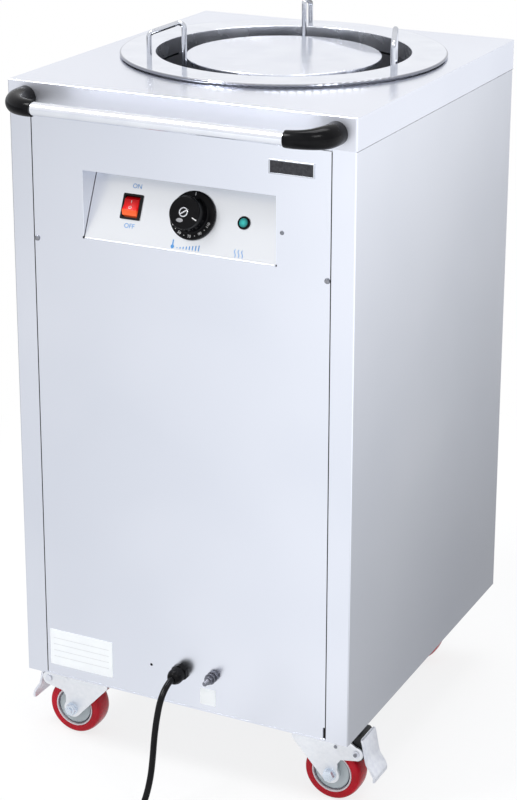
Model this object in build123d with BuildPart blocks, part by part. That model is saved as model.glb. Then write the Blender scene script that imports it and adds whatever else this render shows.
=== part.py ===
from build123d import *
import os
from math import atan2, cos, degrees, pi, radians, sin, sqrt, tan

os.makedirs("parts", exist_ok=True)

# One-head heated plate dispenser cart. Millimetres, +X right, +Y from the front to the back, +Z up.
# The origin lies on the floor, under the middle of the cart's box (handle included, cord left out).

# ---------------------------------------------------------------- driving dimensions
deck_width = 450.0
deck_depth = 498.4
deck_height = 875.0          # top of the deck above the floor
skirt_height = 38.3
deck_corner_radius = 2.0
deck_edge_radius = 1.4
sheet = 1.0                  # thickness of every folded panel
body_bottom = 105.0          # underside of the base tray, the casters' mounting height
seam = 0.8                   # gap between the front panel and its neighbours

# well and platform
well_setback = 31.7          # well axis behind the middle of the deck
flange_width = 44.8          # from the well's inner wall to the flange's rim
flange_thickness = 2.4
flange_rise = 5.0            # top of the flange above the deck
flange_seat_width = 27.0
rim_drop = 4.0               # height of the rolled rim
well_radius = 159.0          # inside of the collar and of the tube
collar_depth = 16.5
collar_wall = 1.5
tube_gap = 2.5               # dark gap between the collar and the tube
tube_foot_rise = 73.0        # bottom of the well tube above the base tray's underside
floor_vent_radius = 9.0
floor_vent_count = 8
platform_gap = 37.0          # round the platform, to the well's inner wall
platform_thickness = 1.5
platform_rim = 7.0
platform_drop = 1.0          # platform top below the deck top
carrier_depth = 74.0         # underside of the carrier below the platform's underside
carrier_arm_width = 24.0
carrier_arm_height = 9.0
carrier_hub_radius = 30.0
pad_height = 50.0
pad_thickness = 8.0
pad_angle = 16.0
pad_clearance = 0.4
spring_radius = 45.0         # middle of the wire
spring_wire = 4.5
spring_turns = 18

# plate guides
guide_rod = 6.4
guide_setback = 12.5         # pivots, outside the well's inner wall
guide_span = 43.0            # between the two legs of one guide
guide_outer_rise = 37.5      # top of the outer corner above the deck
guide_inner_rise = 51.5      # top of the inner corner above the deck
guide_bend = 6.5
guide_foot_gap = 37.0        # inner leg's end above the bottom of the well tube
guide_collar_radius = 6.0
guide_collar_height = 8.0
pivot_clearance = 0.06       # radial running fit of pins and axles
running_gap = 0.3            # axial and open gaps between moving pieces
guides = {                   # name: (pivot angle, swivel at rest from pointing at the well axis)
    "guide_left": (-137.5, -7.5),
    "guide_back": (104.0, 0.0),
    "guide_right": (-14.8, -55.7),
}

# body
post_width = 29.0            # front corner posts
post_flange = 17.0           # strip behind the front panel's edge
post_bend = 1.5              # outer radius of the front corners
rear_return = 20.0
panel_top_drop = 41.0        # top of the front panel below the deck top
panel_bottom_rise = 3.0      # bottom of the front panel above the base tray's underside
tray_lip = 20.0
notch_width = 3.0
notch_height = 15.0

# control recess
recess_margin = 68.2         # front panel left standing beside the recess
recess_drop = 181.5          # lower edge of the recess below the deck top
recess_height = 81.8
fascia_lean = 23.5           # degrees from the vertical
fascia_flange = 12.0
relief_radius = 1.6

rocker_x = -70.4
rocker_s = 43.3              # distances s run up the slope from the fascia's lower edge
bezel_width = 26.0
bezel_length = 30.6
bezel_rise = 2.0
rocker_half_width = 9.4
rocker_half_length = 11.5
rocker_tilt = 12.0
rocker_side_gap = 0.6
rocker_end_gap = 1.3
switch_depth = 24.0

knob_x = 11.0
knob_s = 43.0
dial_radius = 29.0
dial_thickness = 3.6
cap_radius = 20.5
cap_rise = 25.0              # top of the cap above the fascia
knob_clearance = 1.0
shaft_radius = 3.0
shaft_head_radius = 5.8
bushing_radius = 5.0
thermostat_size = 42.0
thermostat_depth = 34.0

lamp_x = 77.0
lamp_s = 42.7
lamp_bezel_radius = 7.75
lamp_body_radius = 6.0
lens_radius = 5.6
lamp_depth = 26.0

# handle
handle_reach = 48.3          # bar axis in front of the skirt
handle_bar_radius = 8.0
handle_inset = 25.0          # elbow's foot, in from the deck's side
elbow_run = 39.0             # elbow's end beyond the bare bar, and the radius of its sweep
elbow_end_radius = 9.8
elbow_swell_radius = 13.4
elbow_foot_radius = 13.8
handle_drop = 19.5           # bar axis below the deck top
elbow_front = 10.4           # front of an elbow before the bar's axis
socket_depth = 8.0
handle_screw_radius = 2.5

# small things on the front
panel_screw_inset = 3.7      # insets are measured from the front panel's side edge
panel_screw_drop = 190.7
screw_head_radius = 3.5
screw_shank_radius = 1.9
rivet_inset = 60.4
rivet_drop = 142.0
badge_inset = 48.7
badge_drop = 66.0
badge_length = 57.0
badge_height = 17.5
badge_thickness = 1.4
rating_inset = 49.9
rating_rise = 39.5           # rises are measured from the base tray's underside
rating_length = 90.6
rating_height = 49.0
sticker_x = 35.8
sticker_rise = 21.0
sticker_length = 21.5
sticker_height = 22.0
label_thickness = 0.3
small_hole_x = -43.2
small_hole_rise = 47.0
small_hole_radius = 1.8
gland_x = -2.0
gland_rise = 46.8
gland_thread_radius = 8.0
gland_hex = 20.0
gland_hex_length = 6.0
gland_dome_radius = 9.8
gland_nose_radius = 5.6
gland_length = 23.0
earth_x = 42.5
earth_rise = 50.4
earth_radius = 3.0
earth_free_length = 9.0

# cord and plug
cord_radius = 4.0
coil_pitch = 9.0
coil_step = 8.7              # height of a layer
coil_outer_radius = 56.0
coil_layer_turns = 2.75
plug_length = 42.0
plug_width = 36.0
pin_radius = 2.4
pin_length = 19.0
pin_spacing = 19.0
cord_tail = 54.0             # straight end between the coil and the plug

# heater
element_radius = 105.0
element_rod = 8.5
element_lift = 40.0          # axis of the rod above the tray
element_leg = 10.0

# casters
wheel_radius = 37.5
wheel_width = 30.0
tread_side_radius = 34.0
core_radius = 26.4
hub_radius = 10.0
axle_radius = 4.0
trail = 25.0                 # wheel axis behind the swivel axis
caster_inset_x = 66.0        # swivel axes, in from the deck's sides and ends
caster_inset_y = 59.2
caster_plate_length = 92.0
caster_plate_width = 66.0
caster_plate_thickness = 2.5
bolt_spacing_x = 60.0
bolt_spacing_y = 44.0
bolt_radius = 4.0
race_radius = 27.0
race_height = 10.2
kingpin_radius = 5.0
fork_half_width = 20.0
fork_sheet = 2.5
fork_top = 88.5
brake_pivot_u = 59.5         # brake pivot behind the swivel axis
brake_pivot_z = 73.5
pedal_sheet = 3.0
pedal_half_width = 19.0

# ---------------------------------------------------------------- derived places
deck_y = (handle_reach + elbow_front) / 2
front_y = deck_y - deck_depth / 2            # front of the skirt
panel_face_y = front_y + sheet               # front of the panels below the skirt
wall_x = deck_width / 2 - sheet              # outside of the side panels
rear_y = deck_y + deck_depth / 2 - sheet     # outside of the rear panel
ceiling_z = deck_height - sheet              # underside of the deck
post_inner_x = wall_x - post_width
panel_half_width = post_inner_x - seam
well_y = deck_y + well_setback
well_axis = Plane(origin=(0, well_y, 0))
panel_top_z = deck_height - panel_top_drop
panel_bottom_z = body_bottom + panel_bottom_rise
recess_half_width = panel_half_width - recess_margin
recess_bottom_z = deck_height - recess_drop
tube_bottom_z = body_bottom + tube_foot_rise
guide_circle = well_radius + guide_setback
flange_radius = well_radius + flange_width
platform_radius = well_radius - platform_gap
guide_reach = deck_height - tube_bottom_z - guide_foot_gap
handle_half_bare = deck_width / 2 - handle_inset - elbow_run
panel_screw_x = panel_half_width - panel_screw_inset
rivet_x = panel_half_width - rivet_inset
badge_x = panel_half_width - badge_inset
rating_x = rating_inset - panel_half_width
rating_z = body_bottom + rating_rise
sticker_z = body_bottom + sticker_rise
small_hole_z = body_bottom + small_hole_rise
gland_z = body_bottom + gland_rise
earth_z = body_bottom + earth_rise
caster_x = deck_width / 2 - caster_inset_x
caster_y = deck_depth / 2 - caster_inset_y


def polar(radius, angle):
    """Point at an angle on a circle about the well axis."""
    return (radius * cos(radians(angle)), well_y + radius * sin(radians(angle)))


def box_between(low, high, mode=Mode.ADD):
    """A block given by two opposite corners."""
    size = [high[i] - low[i] for i in range(3)]
    centre = [(high[i] + low[i]) / 2 for i in range(3)]
    with Locations(tuple(centre)):
        return Box(*size, mode=mode)


def turned(plane, outline, mode=Mode.ADD, arc=360.0):
    """Turn an outline of (radius, height) points about a plane's normal."""
    section = Plane(origin=plane.origin, x_dir=plane.x_dir, z_dir=plane.x_dir.cross(plane.z_dir))
    with BuildSketch(section) as profile:
        with BuildLine():
            Polyline(*outline, close=True)
        make_face()
    revolve(profile.sketch, axis=Axis(plane.origin, plane.z_dir), revolution_arc=arc, mode=mode)


def round_edges(builder, radius, height=None, tolerance=0.01):
    """The circular edges of one radius, at one height if that is given."""
    edges = builder.edges().filter_by(GeomType.CIRCLE)
    edges = edges.filter_by(lambda edge: abs(edge.radius - radius) < tolerance)
    if height is None:
        return edges
    return edges.filter_by(lambda edge: abs(edge.arc_center.Z - height) < tolerance)


def save(builder, label):
    """Label a finished piece and write its file."""
    builder.part.label = label
    export_step(builder.part, f"parts/{label}.step")


def front_plane(depth=0.0):
    """Plane on the front panels' face, facing the user, with X right and Y up."""
    return Plane(origin=(0, panel_face_y + depth, 0), x_dir=(1, 0, 0), z_dir=(0, -1, 0))


# ---------------------------------------------------------------- deck
deck_hole_gap = 1.0          # deck opening outside the collar
with BuildPart() as deck_top:
    with BuildSketch(Plane.XY.offset(deck_height - skirt_height)):
        with Locations((0, deck_y)):
            RectangleRounded(deck_width, deck_depth, deck_corner_radius)
    extrude(amount=skirt_height)
    fillet(deck_top.faces().sort_by(Axis.Z)[-1].edges(), deck_edge_radius)
    with BuildSketch(Plane.XY.offset(deck_height - skirt_height)):
        with Locations((0, deck_y)):
            Rectangle(deck_width - 2 * sheet, deck_depth - 2 * sheet)
    extrude(amount=skirt_height - sheet, mode=Mode.SUBTRACT)
    with BuildSketch(Plane.XY.offset(ceiling_z)):
        with Locations((0, well_y)):
            Circle(well_radius + collar_wall + deck_hole_gap)
        with Locations(*[polar(guide_circle, angle) for angle, swivel in guides.values()]):
            Circle(guide_rod / 2 + pivot_clearance)
    extrude(amount=sheet, mode=Mode.SUBTRACT)
    with BuildSketch(Plane.XZ.offset(-front_y - sheet)):
        with Locations(*[(side * (handle_half_bare + elbow_run), deck_height - handle_drop)
                         for side in (-1, 1)]):
            Circle(handle_screw_radius)
    extrude(amount=sheet, mode=Mode.SUBTRACT)
save(deck_top, "deck_top")

# ---------------------------------------------------------------- side panels with the front posts
for label, side in (("left_side", -1), ("right_side", 1)):
    with BuildPart() as side_panel:
        with BuildSketch(Plane.XY.offset(body_bottom)):
            with Locations((side * (wall_x - sheet / 2), (panel_face_y + rear_y) / 2)):
                Rectangle(sheet, rear_y - panel_face_y)
            with Locations((side * (wall_x - post_width / 2), panel_face_y + sheet / 2)):
                Rectangle(post_width, sheet)
            with Locations((side * (wall_x - rear_return / 2), rear_y - 1.5 * sheet)):
                Rectangle(rear_return, sheet)
        extrude(amount=ceiling_z - body_bottom)
        corner = side_panel.edges().filter_by(Axis.Z).filter_by(
            lambda edge: abs(abs(edge.center().X) - wall_x) < 0.01 and abs(edge.center().Y - panel_face_y) < 0.01)
        fillet(corner, post_bend)
        # the strip that steps back behind the edge of the front panel
        with BuildSketch(Plane.XY.offset(panel_bottom_z)):
            with Locations((side * (post_inner_x - (post_flange - 2 * sheet) / 2), panel_face_y + 1.5 * sheet)):
                Rectangle(post_flange + 2 * sheet, sheet)
        extrude(amount=panel_top_z - panel_bottom_z)
        with BuildSketch(front_plane(sheet)):
            with Locations((side * (handle_half_bare + elbow_run), deck_height - handle_drop)):
                Circle(handle_screw_radius)
        extrude(amount=sheet, mode=Mode.SUBTRACT)
        with BuildSketch(front_plane(2 * sheet)):
            with Locations((side * panel_screw_x, deck_height - panel_screw_drop)):
                Circle(screw_shank_radius)
        extrude(amount=sheet, mode=Mode.SUBTRACT)
    save(side_panel, label)

with BuildPart() as rear_panel:
    box_between((-(wall_x - sheet), rear_y - sheet, body_bottom), (wall_x - sheet, rear_y, ceiling_z))
save(rear_panel, "rear_panel")

# the rail behind the skirt: its lower edge shows as a thin line above the front panel
rail_bar_height = 11.0
with BuildPart() as top_rail:
    box_between((-panel_half_width, panel_face_y, panel_top_z + seam),
                (panel_half_width, panel_face_y + sheet, ceiling_z))
    box_between((-post_inner_x - post_flange, panel_face_y + sheet, panel_top_z + seam),
                (post_inner_x + post_flange, panel_face_y + 2 * sheet, panel_top_z + seam + rail_bar_height))
save(top_rail, "top_rail")

# base tray: plate, lips turned up inside the panels, and the strip below the front panel
tray_x = wall_x - sheet
tray_front_y = panel_face_y + 2 * sheet
tray_back_y = rear_y - 2 * sheet


def caster_corners():
    """Name, swivel axis, trailing direction along X and brake of each caster."""
    return [
        ("front_left", -caster_x, deck_y - caster_y, -1, True),
        ("front_right", caster_x, deck_y - caster_y, 1, True),
        ("rear_left", -caster_x, deck_y + caster_y, 1, False),
        ("rear_right", caster_x, deck_y + caster_y, -1, False),
    ]


def caster_bolt_places():
    return [(x + dx * bolt_spacing_x / 2, y + dy * bolt_spacing_y / 2)
            for name, x, y, direction, brake in caster_corners() for dx in (-1, 1) for dy in (-1, 1)]


with BuildPart() as base_tray:
    box_between((-tray_x, tray_front_y, body_bottom), (tray_x, tray_back_y, body_bottom + sheet + tray_lip))
    box_between((-tray_x + sheet, tray_front_y + sheet, body_bottom + sheet),
                (tray_x - sheet, tray_back_y - sheet, body_bottom + sheet + tray_lip), Mode.SUBTRACT)
    box_between((-panel_half_width, panel_face_y, body_bottom),
                (panel_half_width, tray_front_y, panel_bottom_z - seam))
    with BuildSketch(Plane.XY.offset(body_bottom)):
        with Locations(*caster_bolt_places()):
            Circle(bolt_radius)
    extrude(amount=sheet, mode=Mode.SUBTRACT)
save(base_tray, "base_tray")

# ---------------------------------------------------------------- front panel and control recess
recess_top_z = recess_bottom_z + recess_height
recess_depth = recess_height * tan(radians(fascia_lean))
recess_back_y = panel_face_y + sheet + recess_depth

with BuildPart() as front_panel:
    with BuildSketch(front_plane(sheet)):
        with Locations((0, (panel_top_z + panel_bottom_z) / 2)):
            Rectangle(2 * panel_half_width, panel_top_z - panel_bottom_z)
        with Locations((0, recess_bottom_z + recess_height / 2)):
            Rectangle(2 * recess_half_width, recess_height, mode=Mode.SUBTRACT)
        with Locations((-recess_half_width, recess_bottom_z), (recess_half_width, recess_bottom_z)):
            Circle(relief_radius, mode=Mode.SUBTRACT)
        with Locations((gland_x, gland_z)):
            Circle(gland_thread_radius, mode=Mode.SUBTRACT)
        with Locations((earth_x, earth_z)):
            Circle(earth_radius, mode=Mode.SUBTRACT)
        with Locations((small_hole_x, small_hole_z)):
            Circle(small_hole_radius, mode=Mode.SUBTRACT)
        with Locations((-panel_screw_x, deck_height - panel_screw_drop),
                       (panel_screw_x, deck_height - panel_screw_drop)):
            Circle(screw_shank_radius, mode=Mode.SUBTRACT)
        with Locations((rivet_x, deck_height - rivet_drop)):
            Circle(screw_shank_radius, mode=Mode.SUBTRACT)
        with Locations((panel_half_width - notch_width / 2, panel_bottom_z + notch_height / 2)):
            Rectangle(notch_width, notch_height, mode=Mode.SUBTRACT)
    extrude(amount=sheet)
    # the two cheeks of the recess, folded in from the panel
    for side in (-1, 1):
        with BuildSketch(Plane.YZ.offset(side * (recess_half_width + sheet / 2))):
            with BuildLine():
                Polyline((panel_face_y + sheet / 2, recess_bottom_z + 2 * relief_radius),
                         (panel_face_y + sheet / 2, recess_top_z),
                         (recess_back_y, recess_top_z),
                         (panel_face_y + sheet + 2 * relief_radius * tan(radians(fascia_lean)),
                          recess_bottom_z + 2 * relief_radius), close=True)
            make_face()
        extrude(amount=sheet / 2, both=True)
save(front_panel, "front_panel")

fascia_plane = Plane(
    origin=(0, panel_face_y + sheet, recess_bottom_z),
    x_dir=(1, 0, 0),
    z_dir=(0, -cos(radians(fascia_lean)), sin(radians(fascia_lean))),
)
fascia_side_gap = 0.6
fascia_half_width = recess_half_width - fascia_side_gap
fascia_back_y = panel_face_y + sheet
bezel_corner = 1.6
bezel_lip = 2.0              # bezel beyond the switch body, at its sides
bezel_end_lip = 1.6          # and at its ends
rocker_clear_x = bezel_width / 2 - bezel_lip
rocker_clear_s = bezel_length / 2 - bezel_end_lip

with BuildPart() as control_fascia:
    with BuildSketch(Plane.YZ.offset(-fascia_half_width)):
        with BuildLine():
            slope_front = (fascia_back_y, recess_bottom_z)
            slope_back = (recess_back_y, recess_top_z)
            rise = sheet / cos(radians(fascia_lean))
            Polyline(
                (fascia_back_y, recess_bottom_z - fascia_flange),
                slope_front,
                slope_back,
                (fascia_back_y, recess_top_z),
                (fascia_back_y, recess_top_z + fascia_flange),
                (fascia_back_y + sheet, recess_top_z + fascia_flange),
                (fascia_back_y + sheet, recess_top_z + sheet),
                (recess_back_y + rise, recess_top_z + sheet),
                (fascia_back_y + sheet, recess_bottom_z - (rise - sheet) / tan(radians(fascia_lean))),
                (fascia_back_y + sheet, recess_bottom_z - fascia_flange),
                close=True,
            )
        make_face()
    extrude(amount=2 * fascia_half_width)
    with BuildSketch(fascia_plane):
        with Locations((rocker_x, rocker_s)):
            Rectangle(2 * rocker_clear_x, 2 * rocker_clear_s)
        with Locations((knob_x, knob_s)):
            Circle(bushing_radius)
        with Locations((lamp_x, lamp_s)):
            Circle(lamp_body_radius)
    extrude(amount=-2 * sheet, mode=Mode.SUBTRACT)
save(control_fascia, "control_fascia")

# ---------------------------------------------------------------- rocker switch
rocker_plane = fascia_plane.shift_origin(fascia_plane.from_local_coords((rocker_x, rocker_s, 0)))
rocker_pivot_depth = 3.0
rocker_pin_radius = 1.6
rocker_pin_reach = 1.0
rocker_foot = 5.0            # rocker below its pivot
rocker_shoulder = 3.5        # heights of the outline above the pivot
rocker_ridge = 7.8
rocker_waist = 6.2
rocker_ridge_half = 7.0
cavity_half_width = rocker_half_width + rocker_side_gap
cavity_half_length = rocker_half_length + rocker_end_gap
cavity_floor_gap = 2.5       # under the rocker's foot
cavity_depth = rocker_pivot_depth + rocker_foot + cavity_floor_gap
pivot_plane = Plane(
    origin=rocker_plane.from_local_coords((0, 0, -rocker_pivot_depth)),
    x_dir=rocker_plane.y_dir,
    z_dir=rocker_plane.x_dir,
)

with BuildPart() as rocker_housing:
    with BuildSketch(rocker_plane):
        RectangleRounded(bezel_width, bezel_length, bezel_corner)
    extrude(amount=bezel_rise)
    chamfer(rocker_housing.faces().sort_by(Axis(rocker_plane.origin, rocker_plane.z_dir))[-1].edges(), 0.5)
    with BuildSketch(rocker_plane):
        Rectangle(2 * rocker_clear_x, 2 * rocker_clear_s)
    extrude(amount=-switch_depth)
    with BuildSketch(rocker_plane.offset(bezel_rise)):
        Rectangle(2 * cavity_half_width, 2 * cavity_half_length)
    extrude(amount=-cavity_depth - bezel_rise, mode=Mode.SUBTRACT)
    with BuildSketch(pivot_plane):
        Circle(rocker_pin_radius + pivot_clearance)
    extrude(amount=rocker_clear_x, both=True, mode=Mode.SUBTRACT)
save(rocker_housing, "rocker_housing")

# at rest the rocker's upper end is pressed in
tilt = radians(rocker_tilt)
rest_plane = Plane(
    origin=pivot_plane.origin,
    x_dir=pivot_plane.x_dir * cos(tilt) - pivot_plane.y_dir * sin(tilt),
    z_dir=pivot_plane.z_dir,
)
with BuildPart() as rocker:
    with BuildSketch(rest_plane):
        with BuildLine():
            Polyline(
                (-rocker_half_length, -rocker_foot),
                (-rocker_half_length, rocker_shoulder),
                (-rocker_ridge_half, rocker_ridge),
                (0, rocker_waist),
                (rocker_ridge_half, rocker_ridge),
                (rocker_half_length, rocker_shoulder),
                (rocker_half_length, -rocker_foot),
                close=True,
            )
        make_face()
    extrude(amount=rocker_half_width, both=True)
    with BuildSketch(pivot_plane):
        Circle(rocker_pin_radius)
    extrude(amount=cavity_half_width + rocker_pin_reach - 0.2, both=True)
save(rocker, "rocker")

# ---------------------------------------------------------------- thermostat
knob_plane = fascia_plane.shift_origin(fascia_plane.from_local_coords((knob_x, knob_s, 0)))
bushing_rise = knob_clearance / 2
dial_top = knob_clearance + dial_thickness
shaft_root = 10.0
shaft_bore_gap = 2.0         # bore below the shaft's end
head_height = 1.6
head_slot_width = 1.6
head_slot_depth = 0.8
head_slot_turn = 35

with BuildPart() as thermostat_body:
    with BuildSketch(knob_plane.offset(-sheet)):
        Rectangle(thermostat_size, thermostat_size)
    extrude(amount=-thermostat_depth)
    with BuildSketch(knob_plane.offset(-sheet)):
        Circle(bushing_radius)
    extrude(amount=sheet + bushing_rise)
    with BuildSketch(knob_plane.offset(bushing_rise)):
        Circle(shaft_radius + pivot_clearance)
    extrude(amount=-bushing_rise - shaft_root - shaft_bore_gap, mode=Mode.SUBTRACT)
save(thermostat_body, "thermostat_body")

with BuildPart() as thermostat_shaft:
    with BuildSketch(knob_plane.offset(-shaft_root)):
        Circle(shaft_radius)
    extrude(amount=shaft_root + cap_rise)
    with BuildSketch(knob_plane.offset(cap_rise)):
        Circle(shaft_head_radius)
    extrude(amount=head_height)
    with BuildSketch(knob_plane.offset(cap_rise + head_height)):
        Rectangle(head_slot_width, 2 * shaft_head_radius, rotation=head_slot_turn)
    extrude(amount=-head_slot_depth, mode=Mode.SUBTRACT)
save(thermostat_shaft, "thermostat_shaft")

with BuildPart() as thermostat_knob:
    turned(knob_plane, [
        (shaft_radius, knob_clearance),
        (dial_radius, knob_clearance),
        (dial_radius, dial_top - 1.6),
        (dial_radius - 1.2, dial_top - 0.6),
        (cap_radius + 1.0, dial_top),
        (cap_radius, dial_top + 1.0),
        (cap_radius - 0.9, cap_rise - 1.2),
        (cap_radius - 2.0, cap_rise),
        (shaft_radius, cap_rise),
    ])
save(thermostat_knob, "thermostat_knob")

# ---------------------------------------------------------------- pilot lamp
lamp_plane = fascia_plane.shift_origin(fascia_plane.from_local_coords((lamp_x, lamp_s, 0)))
lamp_bezel_rise = 2.2
lens_seat = 0.4
lens_rise = 3.0

with BuildPart() as pilot_bezel:
    turned(lamp_plane, [
        (0, -lamp_depth),
        (lamp_body_radius, -lamp_depth),
        (lamp_body_radius, 0),
        (lamp_bezel_radius, 0),
        (lamp_bezel_radius, lamp_bezel_rise - 0.8),
        (lamp_bezel_radius - 0.8, lamp_bezel_rise),
        (lens_radius, lamp_bezel_rise),
        (lens_radius, lens_seat),
        (0, lens_seat),
    ])
save(pilot_bezel, "pilot_bezel")

with BuildPart() as pilot_lens:
    with BuildSketch(lamp_plane.offset(lens_seat)):
        Circle(lens_radius)
    extrude(amount=lens_rise - lens_seat)
    fillet(pilot_lens.faces().sort_by(Axis(lamp_plane.origin, lamp_plane.z_dir))[-1].edges(), 1.6)
save(pilot_lens, "pilot_lens")

# ---------------------------------------------------------------- well
deck_plane = Plane(origin=(0, well_y, deck_height))
collar_outer = well_radius + collar_wall
rim_width = 5.0
seat_inner = collar_outer + 2.5

with BuildPart() as well_flange:
    turned(deck_plane, [
        (well_radius, -collar_depth),
        (collar_outer, -collar_depth),
        (collar_outer, flange_rise - flange_thickness),
        (seat_inner, flange_rise - flange_thickness),
        (seat_inner, 0),
        (seat_inner + flange_seat_width, 0),
        (seat_inner + flange_seat_width, flange_rise - flange_thickness),
        (flange_radius - rim_width, flange_rise - flange_thickness),
        (flange_radius - rim_width, flange_rise - rim_drop),
        (flange_radius, flange_rise - rim_drop),
        (flange_radius, flange_rise),
        (well_radius, flange_rise),
    ])
    fillet(round_edges(well_flange, flange_radius), rim_drop / 2 - 0.1)
    fillet(round_edges(well_flange, well_radius, deck_height + flange_rise), 1.4)
    with BuildSketch(Plane.XY.offset(deck_height)):
        with Locations(*[polar(guide_circle, angle) for angle, swivel in guides.values()]):
            Circle(guide_rod / 2 + pivot_clearance)
    extrude(amount=flange_rise, mode=Mode.SUBTRACT)
save(well_flange, "well_flange")

tube_top = -collar_depth - tube_gap
tube_bottom = tube_bottom_z - deck_height
with BuildPart() as well_tube:
    turned(deck_plane, [
        (well_radius, tube_bottom),
        (well_radius + sheet, tube_bottom),
        (well_radius + sheet, tube_top),
        (well_radius, tube_top),
    ])
save(well_tube, "well_tube")

# brackets that hang the tube from the deck, midway between the guides
first_guide_angle = guides["guide_right"][0]
arm_angles = [first_guide_angle + 60.0 + 120.0 * i for i in range(3)]
bracket_angle = 14.0
bracket_wall = 1.5
bracket_reach = 24.0
bracket_pad = 18.0
with BuildPart() as tube_brackets:
    for angle in arm_angles:
        start = Plane(origin=deck_plane.origin, x_dir=(cos(radians(angle - bracket_angle / 2)),
                                                       sin(radians(angle - bracket_angle / 2)), 0))
        outside = well_radius + sheet
        turned(start, [
            (outside, tube_top - 2 * bracket_pad),
            (outside + 2 * bracket_wall, tube_top - 2 * bracket_pad),
            (outside + 2 * bracket_wall, -sheet - bracket_wall),
            (outside + bracket_reach, -sheet - bracket_wall),
            (outside + bracket_reach, -sheet),
            (outside + bracket_wall, -sheet),
            (outside + bracket_wall, tube_top - bracket_pad),
            (outside, tube_top - bracket_pad),
        ], arc=bracket_angle)
save(tube_brackets, "tube_brackets")

floor_top_z = tube_bottom_z + 1.5 * sheet
with BuildPart() as well_floor:
    with BuildSketch(well_axis.offset(tube_bottom_z)):
        Circle(well_radius)
        with PolarLocations((well_radius + spring_radius) / 2, floor_vent_count):
            Circle(floor_vent_radius, mode=Mode.SUBTRACT)
    extrude(amount=floor_top_z - tube_bottom_z)
save(well_floor, "well_floor")

# ---------------------------------------------------------------- platform
platform_top_z = deck_height - platform_drop
platform_under_z = platform_top_z - platform_thickness
carrier_bottom_z = platform_under_z - carrier_depth
with BuildPart() as platform_disc:
    turned(well_axis, [
        (0, platform_under_z),
        (platform_radius - platform_thickness, platform_under_z),
        (platform_radius - platform_thickness, platform_top_z - platform_rim),
        (platform_radius, platform_top_z - platform_rim),
        (platform_radius, platform_top_z),
        (0, platform_top_z),
    ])
    fillet(round_edges(platform_disc, platform_radius, platform_top_z), 1.2)
save(platform_disc, "platform_disc")

pad_outer = well_radius - pad_clearance
pad_inner = pad_outer - pad_thickness
carrier_plate_radius = 2 * carrier_hub_radius
spring_plate_radius = spring_radius + 3 * spring_wire
plate_wall = 2.0
arm_trim = 1.0               # arms are cut this much over-long, then trimmed
with BuildPart() as platform_carrier:
    turned(well_axis, [
        (0, carrier_bottom_z),
        (spring_plate_radius, carrier_bottom_z),
        (spring_plate_radius, carrier_bottom_z + plate_wall),
        (carrier_hub_radius, carrier_bottom_z + plate_wall),
        (carrier_hub_radius, platform_under_z - plate_wall),
        (carrier_plate_radius, platform_under_z - plate_wall),
        (carrier_plate_radius, platform_under_z),
        (0, platform_under_z),
    ])
    with BuildSketch(well_axis.offset(carrier_bottom_z + plate_wall)):
        Circle(carrier_hub_radius - plate_wall)
    extrude(amount=carrier_depth - 2 * plate_wall, mode=Mode.SUBTRACT)
    for angle in arm_angles:
        with BuildSketch(Plane(origin=(0, well_y, carrier_bottom_z),
                               x_dir=(cos(radians(angle)), sin(radians(angle)), 0))):
            with Locations(((carrier_hub_radius + pad_inner) / 2, 0)):
                Rectangle(pad_inner - carrier_hub_radius + arm_trim, carrier_arm_width)
        extrude(amount=carrier_arm_height)
    # the arms' ends are trimmed to the pads' backs
    turned(well_axis, [
        (pad_inner, carrier_bottom_z - arm_trim),
        (pad_outer, carrier_bottom_z - arm_trim),
        (pad_outer, carrier_bottom_z + carrier_arm_height + arm_trim),
        (pad_inner, carrier_bottom_z + carrier_arm_height + arm_trim),
    ], mode=Mode.SUBTRACT)
save(platform_carrier, "platform_carrier")

pad_low = carrier_bottom_z + (carrier_arm_height - pad_height) / 2
with BuildPart() as glide_pads:
    for angle in arm_angles:
        start = Plane(origin=(0, well_y, pad_low), x_dir=(cos(radians(angle - pad_angle / 2)),
                                                          sin(radians(angle - pad_angle / 2)), 0))
        turned(start, [(pad_inner, 0), (pad_outer, 0), (pad_outer, pad_height), (pad_inner, pad_height)],
               arc=pad_angle)
save(glide_pads, "glide_pads")


# ---------------------------------------------------------------- wound pieces
def biarc(start, start_way, end, end_way):
    """Two arcs that leave and reach two points in given directions; gives their meeting point."""
    chord = end - start
    ways = start_way + end_way
    a = 2 * (1 - start_way.dot(end_way))
    b = 2 * chord.dot(ways)
    c = -chord.dot(chord)
    if a < 1e-9:
        reach = -c / b
    else:
        reach = (-b + sqrt(b * b - 4 * a * c)) / (2 * a)
    return (start + start_way * reach + end - end_way * reach) / 2


def wound_line(point_at, quarters, end_ways=None):
    """Edges through a curve's points, a quarter turn apart, as pairs of arcs."""
    step = 1e-4
    places = [i / quarters for i in range(quarters + 1)]
    points = [Vector(*point_at(t)) for t in places]
    ways = []
    for t in places:
        low, high = max(0.0, t - step), min(1.0, t + step)
        ways.append((Vector(*point_at(high)) - Vector(*point_at(low))).normalized())
    if end_ways:
        ways[0], ways[-1] = end_ways
    edges = []
    for i in range(quarters):
        middle = biarc(points[i], ways[i], points[i + 1], ways[i + 1])
        first = Edge.make_tangent_arc(points[i], ways[i], middle)
        edges.append(first)
        edges.append(Edge.make_tangent_arc(middle, first % 1, points[i + 1]))
    return edges


# lift spring, compressed between the well floor and the carrier
spring_low = floor_top_z + spring_wire / 2
spring_high = carrier_bottom_z - spring_wire / 2


def spring_point(t):
    angle = 2 * pi * spring_turns * t
    return (spring_radius * cos(angle), well_y + spring_radius * sin(angle),
            spring_low + (spring_high - spring_low) * t)


with BuildPart() as lift_spring:
    spring_line = Wire(wound_line(spring_point, 4 * spring_turns))
    with BuildSketch(Plane(origin=spring_line @ 0, z_dir=spring_line % 0)):
        Circle(spring_wire / 2)
    sweep(path=spring_line)
save(lift_spring, "lift_spring")

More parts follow.
